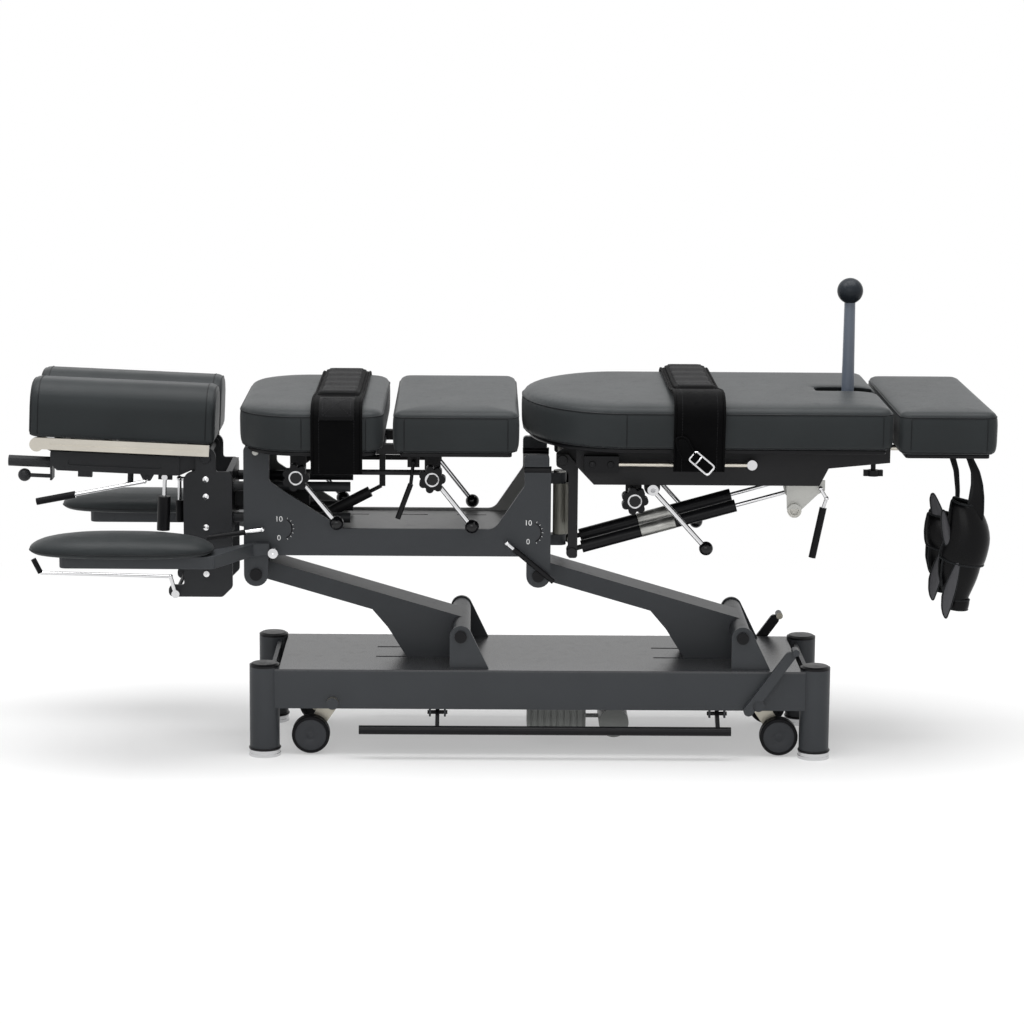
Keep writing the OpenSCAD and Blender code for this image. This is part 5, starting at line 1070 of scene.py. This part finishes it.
def boot(label, side, hinge_x, shift, cuff, flap, strap):
    """A leather ankle cuff that hangs on a strap: a flared upper shell, a lower shell inside
    it, a tongue and flap painted lighter to stand for the light on them, and a band that closes
    the foot."""
    x, y, body = hinge_x + shift, side * BOOT_Y, label + "_boot"
    for part, edge_part, rows, surface_finish, thick in (
            ("lower_shell", "lower_shell_piping", shell_rows(x, y, LOWER_SHELL, (-150, 150)),
             BOOT_HIDE, 3.0),
            ("upper_shell", "upper_shell_piping", shell_rows(x, y, cuff, (-158, 132)),
             BOOT_HIDE, 3.4),
            ("tongue", "tongue_edge", leaf_rows(x - LEAF_BACK, y - TONGUE_OUT, TONGUE),
             BOOT_LEAF_PAINTED_LIGHT, 2.4),
            ("inner_flap", "inner_edge", leaf_rows(x - LEAF_BACK, y - FLAP_OUT, flap),
             BOOT_LEAF_PAINTED_LIGHT, 2.4),
            ("foot_band", "foot_band_edge", shell_rows(x, y, FOOT_BAND, (-170, 170)),
             BOOT_HIDE, 2.2),
            ("strap", "strap_edge", hanger_rows(hinge_x, y, strap), BOOT_HIDE, 2.6)):
        panel, edge = sewn_panel(f"{body}_{part}", rows, surface_finish, thick)
        fit_piece(panel, body, "boot", *([body] if part == "lower_shell" else []))
        fitted(f"{body}_{edge_part}", edge, DARK_PIPING, body, "boot")


boot("near", NEAR, 838, 0, NEAR_CUFF, NEAR_FLAP, NEAR_STRAP)
boot("far", FAR, 822, 15, FAR_CUFF, FAR_FLAP, FAR_STRAP)


# ---------------------------------------------------------------- fitted small pieces

def lathed(rings, place, way, surface, name, count=40):
    """A turned piece: rings of radius and height along an axis, in millimetres."""
    way = Vector(way).normalized()
    side = way.orthogonal().normalized()
    up = way.cross(side)
    loops = [[at(*place) + (way * run + r * (c * side + s * up)) * MM
              for c, s in full_turn(count)] for r, run in rings]
    return ring_shell(loops, surface, name)


WHEEL_RINGS = ((30.5, -2.5), (31.5, 0.0), (31.5, 0.8), (30.0, 1.5), (11.0, 1.7), (10.4, 1.1),
               (7.5, 1.1), (7.0, 1.7), (2.0, 1.9))
WHEEL_Y, WHEEL_Z = 148, 41
for label, side in SIDES:
    for end, x in (("head", -459), ("foot", 481)):
        wheel = f"{label}_{end}_wheel"
        fit_piece(lathed(WHEEL_RINGS, (x, side * WHEEL_Y, WHEEL_Z), (0, side, 0), WHEEL_FACE,
                         wheel + "_face"), wheel, "wheel")

# the black ring above each levelling disc
POST_PLACES = [(x, side * 146) for x in (-550.6, 551.4) for side in (NEAR, FAR)]
POST_RING, POST_RING_Z = 30.4, 16
for post, (x, y) in enumerate(POST_PLACES, 1):
    ring = [at(x + POST_RING * c, y + POST_RING * s, POST_RING_Z) for c, s in full_turn(48)]
    fitted(f"post_ring_{post}", tube(ring, 2.0 * MM, closed=True), BLACK_MOULDED, "base",
           "black")

CAP_X0, CAP_X1, JOINT_X1, CAP_Y = -34.1, 14.9, 18.9, 121
# the joint's section, as growth and height, and the heights of the ribs
JOINT_SECTION = ((-0.3, 573), (0.6, 573), (0.6, 584.6), (-0.3, 584.6))
RIB_HEIGHTS = (588.5, 592.5, 596.5, 600.5)


def upright_ring(side, x0, x1, half, corner, z):
    """A ring round the top of a foot end upright."""
    return [at(p.x, side * CAP_Y + p.y, z)
            for p in rounded(four_corners(x0, x1, half), [corner] * 4)]


# the black joint under each foot end upright's cap, and the fine ribs around the cap
for label, side in SIDES:
    loops = [upright_ring(side, CAP_X0 - grow, JOINT_X1 + grow, 4 + grow, 1.2, z)
             for grow, z in JOINT_SECTION]
    fitted(label + "_cap_joint", skinned(loops, closed=True), BLACK_MOULDED, "carriage",
           "black")
    lines = [tube(upright_ring(side, CAP_X0, CAP_X1, 8, 1.0, z), 0.55 * MM, sides=6, closed=True)
             for z in RIB_HEIGHTS]
    fitted(label + "_cap_ribs", joined(lines), FRAME_POWDER, "carriage", "frame")

# the bare silver band on each gas spring tube
SPRING_FOOT, SPRING_SLOPE, SPRING_Y, BAND_START = (61.7, 407), radians(15.6), 65, 145
BAND_RINGS = ((12.5, 0), (12.95, 0.5), (12.95, 70.5), (12.5, 71))
for label, side in SIDES:
    way = (cos(SPRING_SLOPE), 0, sin(SPRING_SLOPE))
    start = (SPRING_FOOT[0] + BAND_START * way[0], side * SPRING_Y,
             SPRING_FOOT[1] + BAND_START * way[2])
    fit_piece(lathed(BAND_RINGS, start, way, CAST_ZINC, label + "_spring_band"),
              "gas_spring_tubes", "zinc")

PRINT_Y, ARC_RADIUS, TICK_RADII = -125.2, 21, (22.5, 25.5)


def raised_digits(name, text, x, z, height):
    """A number printed on the near side plate."""
    curve = bpy.data.curves.new(name + "_line", "FONT")
    curve.body = text
    curve.size = height * MM * 1.4
    curve.extrude = 0.15 * MM
    curve.align_x, curve.align_y = "CENTER", "CENTER"
    holder = in_scene(name + "_line", curve)
    mesh = settled_mesh(holder)
    bpy.data.objects.remove(holder)
    flat, place = points_of(mesh), at(x, PRINT_Y, z)
    put_points(mesh, np.stack([flat[:, 0] + place.x, place.y - flat[:, 2],
                               flat[:, 1] + place.z], axis=1))
    mesh.materials.clear()
    mesh.materials.append(MARK_WHITE)
    return in_scene(name, mesh)


def scale_spot(x, z, radius, degrees, lift=0.1):
    """A point of a printed scale, just off the near side plate."""
    return at(x + radius * cos(radians(degrees)), PRINT_Y - lift,
              z + radius * sin(radians(degrees)))


# the tilt scales by the two uprights: an arc with ticks and plain numbers
for label, x, z in (("head", -517, 457), ("foot", -21, 452)):
    arc = tube([scale_spot(x, z, ARC_RADIUS, a) for a in range(-62, 63, 4)], 1.1 * MM, sides=6)
    fitted(label + "_scale_arc", arc, BLACK_MOULDED, "carriage", "black")
    ticks = [tube([scale_spot(x, z, r, a, 0.2) for r in TICK_RADII], 0.6 * MM, sides=6)
             for a in range(-60, 61, 20)]
    fitted(label + "_scale_ticks", joined(ticks), MARK_WHITE, "carriage", "frame")
    for digits, dz in (("10", 19), ("0", -19)):
        fit_piece(raised_digits(f"{label}_scale_number_{digits}", digits, x - 5, z + dz, 11),
                  "carriage", "frame")


# ---------------------------------------------------------------- finishes on the CAD nodes

for row in frame["record"]["subparts"]:
    data = frame["nodes"][row["node"]].data
    data.materials.clear()
    data.materials.append(SLOT_FINISHES[row["material_slot"]])
# the deck plate's lighter finish holds a painted reflection of the white surroundings
for node, surface in (("deck_plate", DECK_PAINTED_REFLECTION), ("leg_tray", TRAY_POWDER),
                      ("head_carrier", CARRIER_POWDER), ("head_tray", CARRIER_POWDER),
                      ("section_supports", TRAY_POWDER), ("foot_discs", BRIGHT_CHROME),
                      ("leg_swivel_post", TRAY_POWDER), ("head_caster_frame", PLATED_STEEL),
                      ("foot_caster_frame", PLATED_STEEL)):
    frame["nodes"][node].data.materials[0] = surface


def refinish(node, surface, chosen):
    """Gives another finish to the faces of a node whose middle is chosen."""
    mesh = frame["nodes"][node].data
    mesh.materials.append(surface)
    for face in mesh.polygons:
        x, y, z = face.center / MM
        if chosen(x - MID_X / MM, y, z):
            face.material_index = len(mesh.materials) - 1


def near_spot(x0, z0, radius, y_limit=inf):
    """Chooses what lies within a radius of a line that runs across the table, on the near
    side of y_limit."""
    return lambda x, y, z: (x - x0) ** 2 + (z - z0) ** 2 < radius ** 2 and y < y_limit


BALL_RADIUS, RIM_RADIUS, FACE_RADIUS, BOLT_RADIUS, BOLT_Y = 14.6, 14.6, 10.9, 7.5, 98.3
for node, x, z in (("chest_cocking_lever", -406, 473), ("pelvic_cocking_lever", -138, 468),
                   ("leg_cocking_lever", 327.4, 427)):
    refinish(node, KNOB_GLOSS, near_spot(x, z, BALL_RADIUS))
for node, x, z, face_y in (("chest_knob", -483.6, 569, -183), ("pelvic_knob", -215.6, 567, -183),
                           ("leg_knob", 183.4, 529, -197)):
    refinish(node, BRIGHT_CHROME, near_spot(x, z, RIM_RADIUS, face_y + 0.6))
    refinish(node, KNOB_GLOSS, near_spot(x, z, FACE_RADIUS, face_y + 0.6))
for bolt_z in (551, 516, 454, 359):
    bolt = near_spot(HEAD_X, bolt_z, BOLT_RADIUS)
    refinish("head_carrier", BRIGHT_CHROME,
             lambda x, y, z, bolt=bolt: bolt(x, y, z) and abs(y) > BOLT_Y)

# parts of a node in another finish: grips, caps, bolts and rails, painted light on the far side
# plate's inner face and the carriage pan, and painted shade on the far pedal arm
PART_FINISHES = (
    ("leg_release_handle", GRIP_RUBBER, lambda x, y, z: z < 503),
    ("head_crank", GRIP_RUBBER, lambda x, y, z: z < 496),
    ("head_lock_lever", BRIGHT_CHROME, lambda x, y, z: z > 514),
    ("head_cocking_lever", GRIP_RUBBER, lambda x, y, z: x < -924),
    ("carrier_release_lever", GRIP_RUBBER, lambda x, y, z: x < -990 and z > 364),
    ("head_release_lever", BRIGHT_CHROME, lambda x, y, z: x > -583),
    ("leg_release_lever", BRIGHT_CHROME, lambda x, y, z: x < -56),
    ("flexion_handle", BALL_SLATE, lambda x, y, z: z > 899),
    # painted light: the far side plate's inner face is the frame powder, made lighter as if lit
    ("far_side_plate", PLATE_PAINTED_LIGHT, lambda x, y, z: y < 117.5),
    # painted light: the carriage pan's top is made lighter as if lit
    ("carriage_cross_plates", PAN_PAINTED_LIGHT,
     lambda x, y, z: abs(z - 454) < 0.3 and -580 < x < -20),
    ("leg_fittings", BLACK_MOULDED, lambda x, y, z: abs(y) > 165 and x < 150),
    ("leg_fittings", SATIN_NICKEL, lambda x, y, z: abs(y) > 165 and 150 < x < 402),
    ("leg_fittings", BRIGHT_CHROME, lambda x, y, z: abs(y) > 165 and x > 402),
    ("leg_fittings", PALE_NYLON, lambda x, y, z: -115 < y < -109 and z < 500 and x < 520),
    ("leg_swivel_post", BARREL_ZINC, lambda x, y, z: abs(y) < 40),
    ("carriage_fittings", BLACK_MOULDED, lambda x, y, z: z < 380 and abs(y) > 100),
    ("carriage_fittings", BRIGHT_CHROME, lambda x, y, z: 380 < z < 560 and abs(y) > 100),
    ("carriage_fittings", FRAME_POWDER, lambda x, y, z: z > 560 and x > -100),
    ("foot_caster_frame", FRAME_POWDER, lambda x, y, z: y < -165),
    # painted shade: the far pedal arm is the same painted steel as the near one, made black to
    # stand for the shade it sits in
    ("foot_caster_frame", BLACK_MOULDED, lambda x, y, z: y > 165),
    ("head_caster_frame", FRAME_POWDER, lambda x, y, z: abs(y) > 165),
)
for row in PART_FINISHES:
    refinish(*row)


# ---------------------------------------------------------------- studio

CAMERA_PLACE = (-125, -6373, 1603)
CAMERA_FOCAL, FRAME_WIDTH = 3190, 1024
CAMERA_PITCH, CAMERA_YAW, CAMERA_ROLL = radians(10.07), radians(0.61), radians(0.45)
FLOOR_REACH, SHADOW_NEAR, SHADOW_FAR, SHADOW_SHARE = 14.0, 1.1, 2.2, 0.62
WHITE = (1, 1, 1, 1)


def place_camera():
    """The camera at the photograph's angle."""
    data = bpy.data.cameras.new("front_view")
    data.lens = data.sensor_width * CAMERA_FOCAL / FRAME_WIDTH
    data.clip_end = 60
    camera = in_scene("front_view", data)
    ahead = Vector((sin(CAMERA_YAW) * cos(CAMERA_PITCH), cos(CAMERA_YAW) * cos(CAMERA_PITCH),
                    -sin(CAMERA_PITCH)))
    level = Vector((cos(CAMERA_YAW), -sin(CAMERA_YAW), 0))
    up = level.cross(ahead)
    right = cos(CAMERA_ROLL) * level + sin(CAMERA_ROLL) * up
    top = -sin(CAMERA_ROLL) * level + cos(CAMERA_ROLL) * up
    turn = Matrix((right, top, -ahead)).transposed().to_4x4()
    camera.matrix_world = Matrix.Translation(at(*CAMERA_PLACE)) @ turn
    bpy.context.scene.camera = camera


def place_light(name, place, aim, size, power):
    """A soft box of the size given, in metres, aimed at a point."""
    data = bpy.data.lights.new(name, "AREA")
    data.shape = "RECTANGLE"
    data.size, data.size_y = size
    data.energy = power
    lamp = in_scene(name, data)
    lamp.location = place
    lamp.rotation_mode = "QUATERNION"
    lamp.rotation_quaternion = (Vector(aim) - Vector(place)).to_track_quat("-Z", "Y")


def seen_plain(tree, *rays):
    """One for a ray of the camera or of the kinds named, and nought for any other."""
    path = add_node(tree, "LightPath")
    seen = path.outputs["Is Camera Ray"]
    for ray in rays:
        seen = number(tree, "ADD", seen, path.outputs[ray], clamp=True)
    return seen


def make_floor():
    """A white floor that keeps the table's shadow near it and fades to plain white."""
    corners = [(x * FLOOR_REACH, y * FLOOR_REACH, 0)
               for x, y in ((-1, -1), (1, -1), (1, 1), (-1, 1))]
    white = bpy.data.materials.new("floor_white")
    floor = new_piece("studio_floor", corners, [(0, 1, 2, 3)], white, smooth=False)
    white.use_nodes = True
    tree = white.node_tree
    tree.nodes.remove(tree.nodes["Principled BSDF"])
    matt = add_node(tree, "BsdfDiffuse", {"Color": (0.9, 0.9, 0.9, 1)}).outputs[0]
    away = add_node(tree, "VectorMath", {0: own_place(tree)}, operation="LENGTH").outputs["Value"]
    near = between(tree, away, SHADOW_NEAR, SHADOW_FAR, SHADOW_SHARE, 0.0)
    seen = seen_plain(tree, "Is Glossy Ray")
    glow = add_node(tree, "Emission", {"Color": WHITE, "Strength": 1.0}).outputs[0]
    shown = add_node(tree, "MixShader", {0: near, 1: glow, 2: matt}).outputs[0]
    both = add_node(tree, "MixShader", {0: seen, 1: matt, 2: shown}).outputs[0]
    fill(tree, tree.nodes["Material Output"], {"Surface": both})


def make_world():
    """Even pale light, and plain white where the camera looks past the floor."""
    world = bpy.data.worlds.new("studio_air")
    bpy.context.scene.world = world
    world.use_nodes = True
    tree = world.node_tree
    air = fill(tree, tree.nodes["Background"], {"Color": WHITE, "Strength": 0.5})
    white = add_node(tree, "Background", {"Color": WHITE, "Strength": 1.0})
    seen = seen_plain(tree, "Is Glossy Ray", "Is Transmission Ray")
    mixed = add_node(tree, "MixShader", {0: seen, 1: air.outputs[0], 2: white.outputs[0]})
    fill(tree, tree.nodes["World Output"], {"Surface": mixed.outputs[0]})


place_camera()
make_world()
make_floor()
place_light("top_box", (0.0, -0.3, 3.2), (0.0, 0.0, 0.6), (4.2, 2.2), 150)
place_light("front_box", (-0.5, -4.5, 2.2), (0.0, 0.0, 0.5), (3.5, 1.6), 35)
bpy.context.scene.view_settings.view_transform = "Standard"
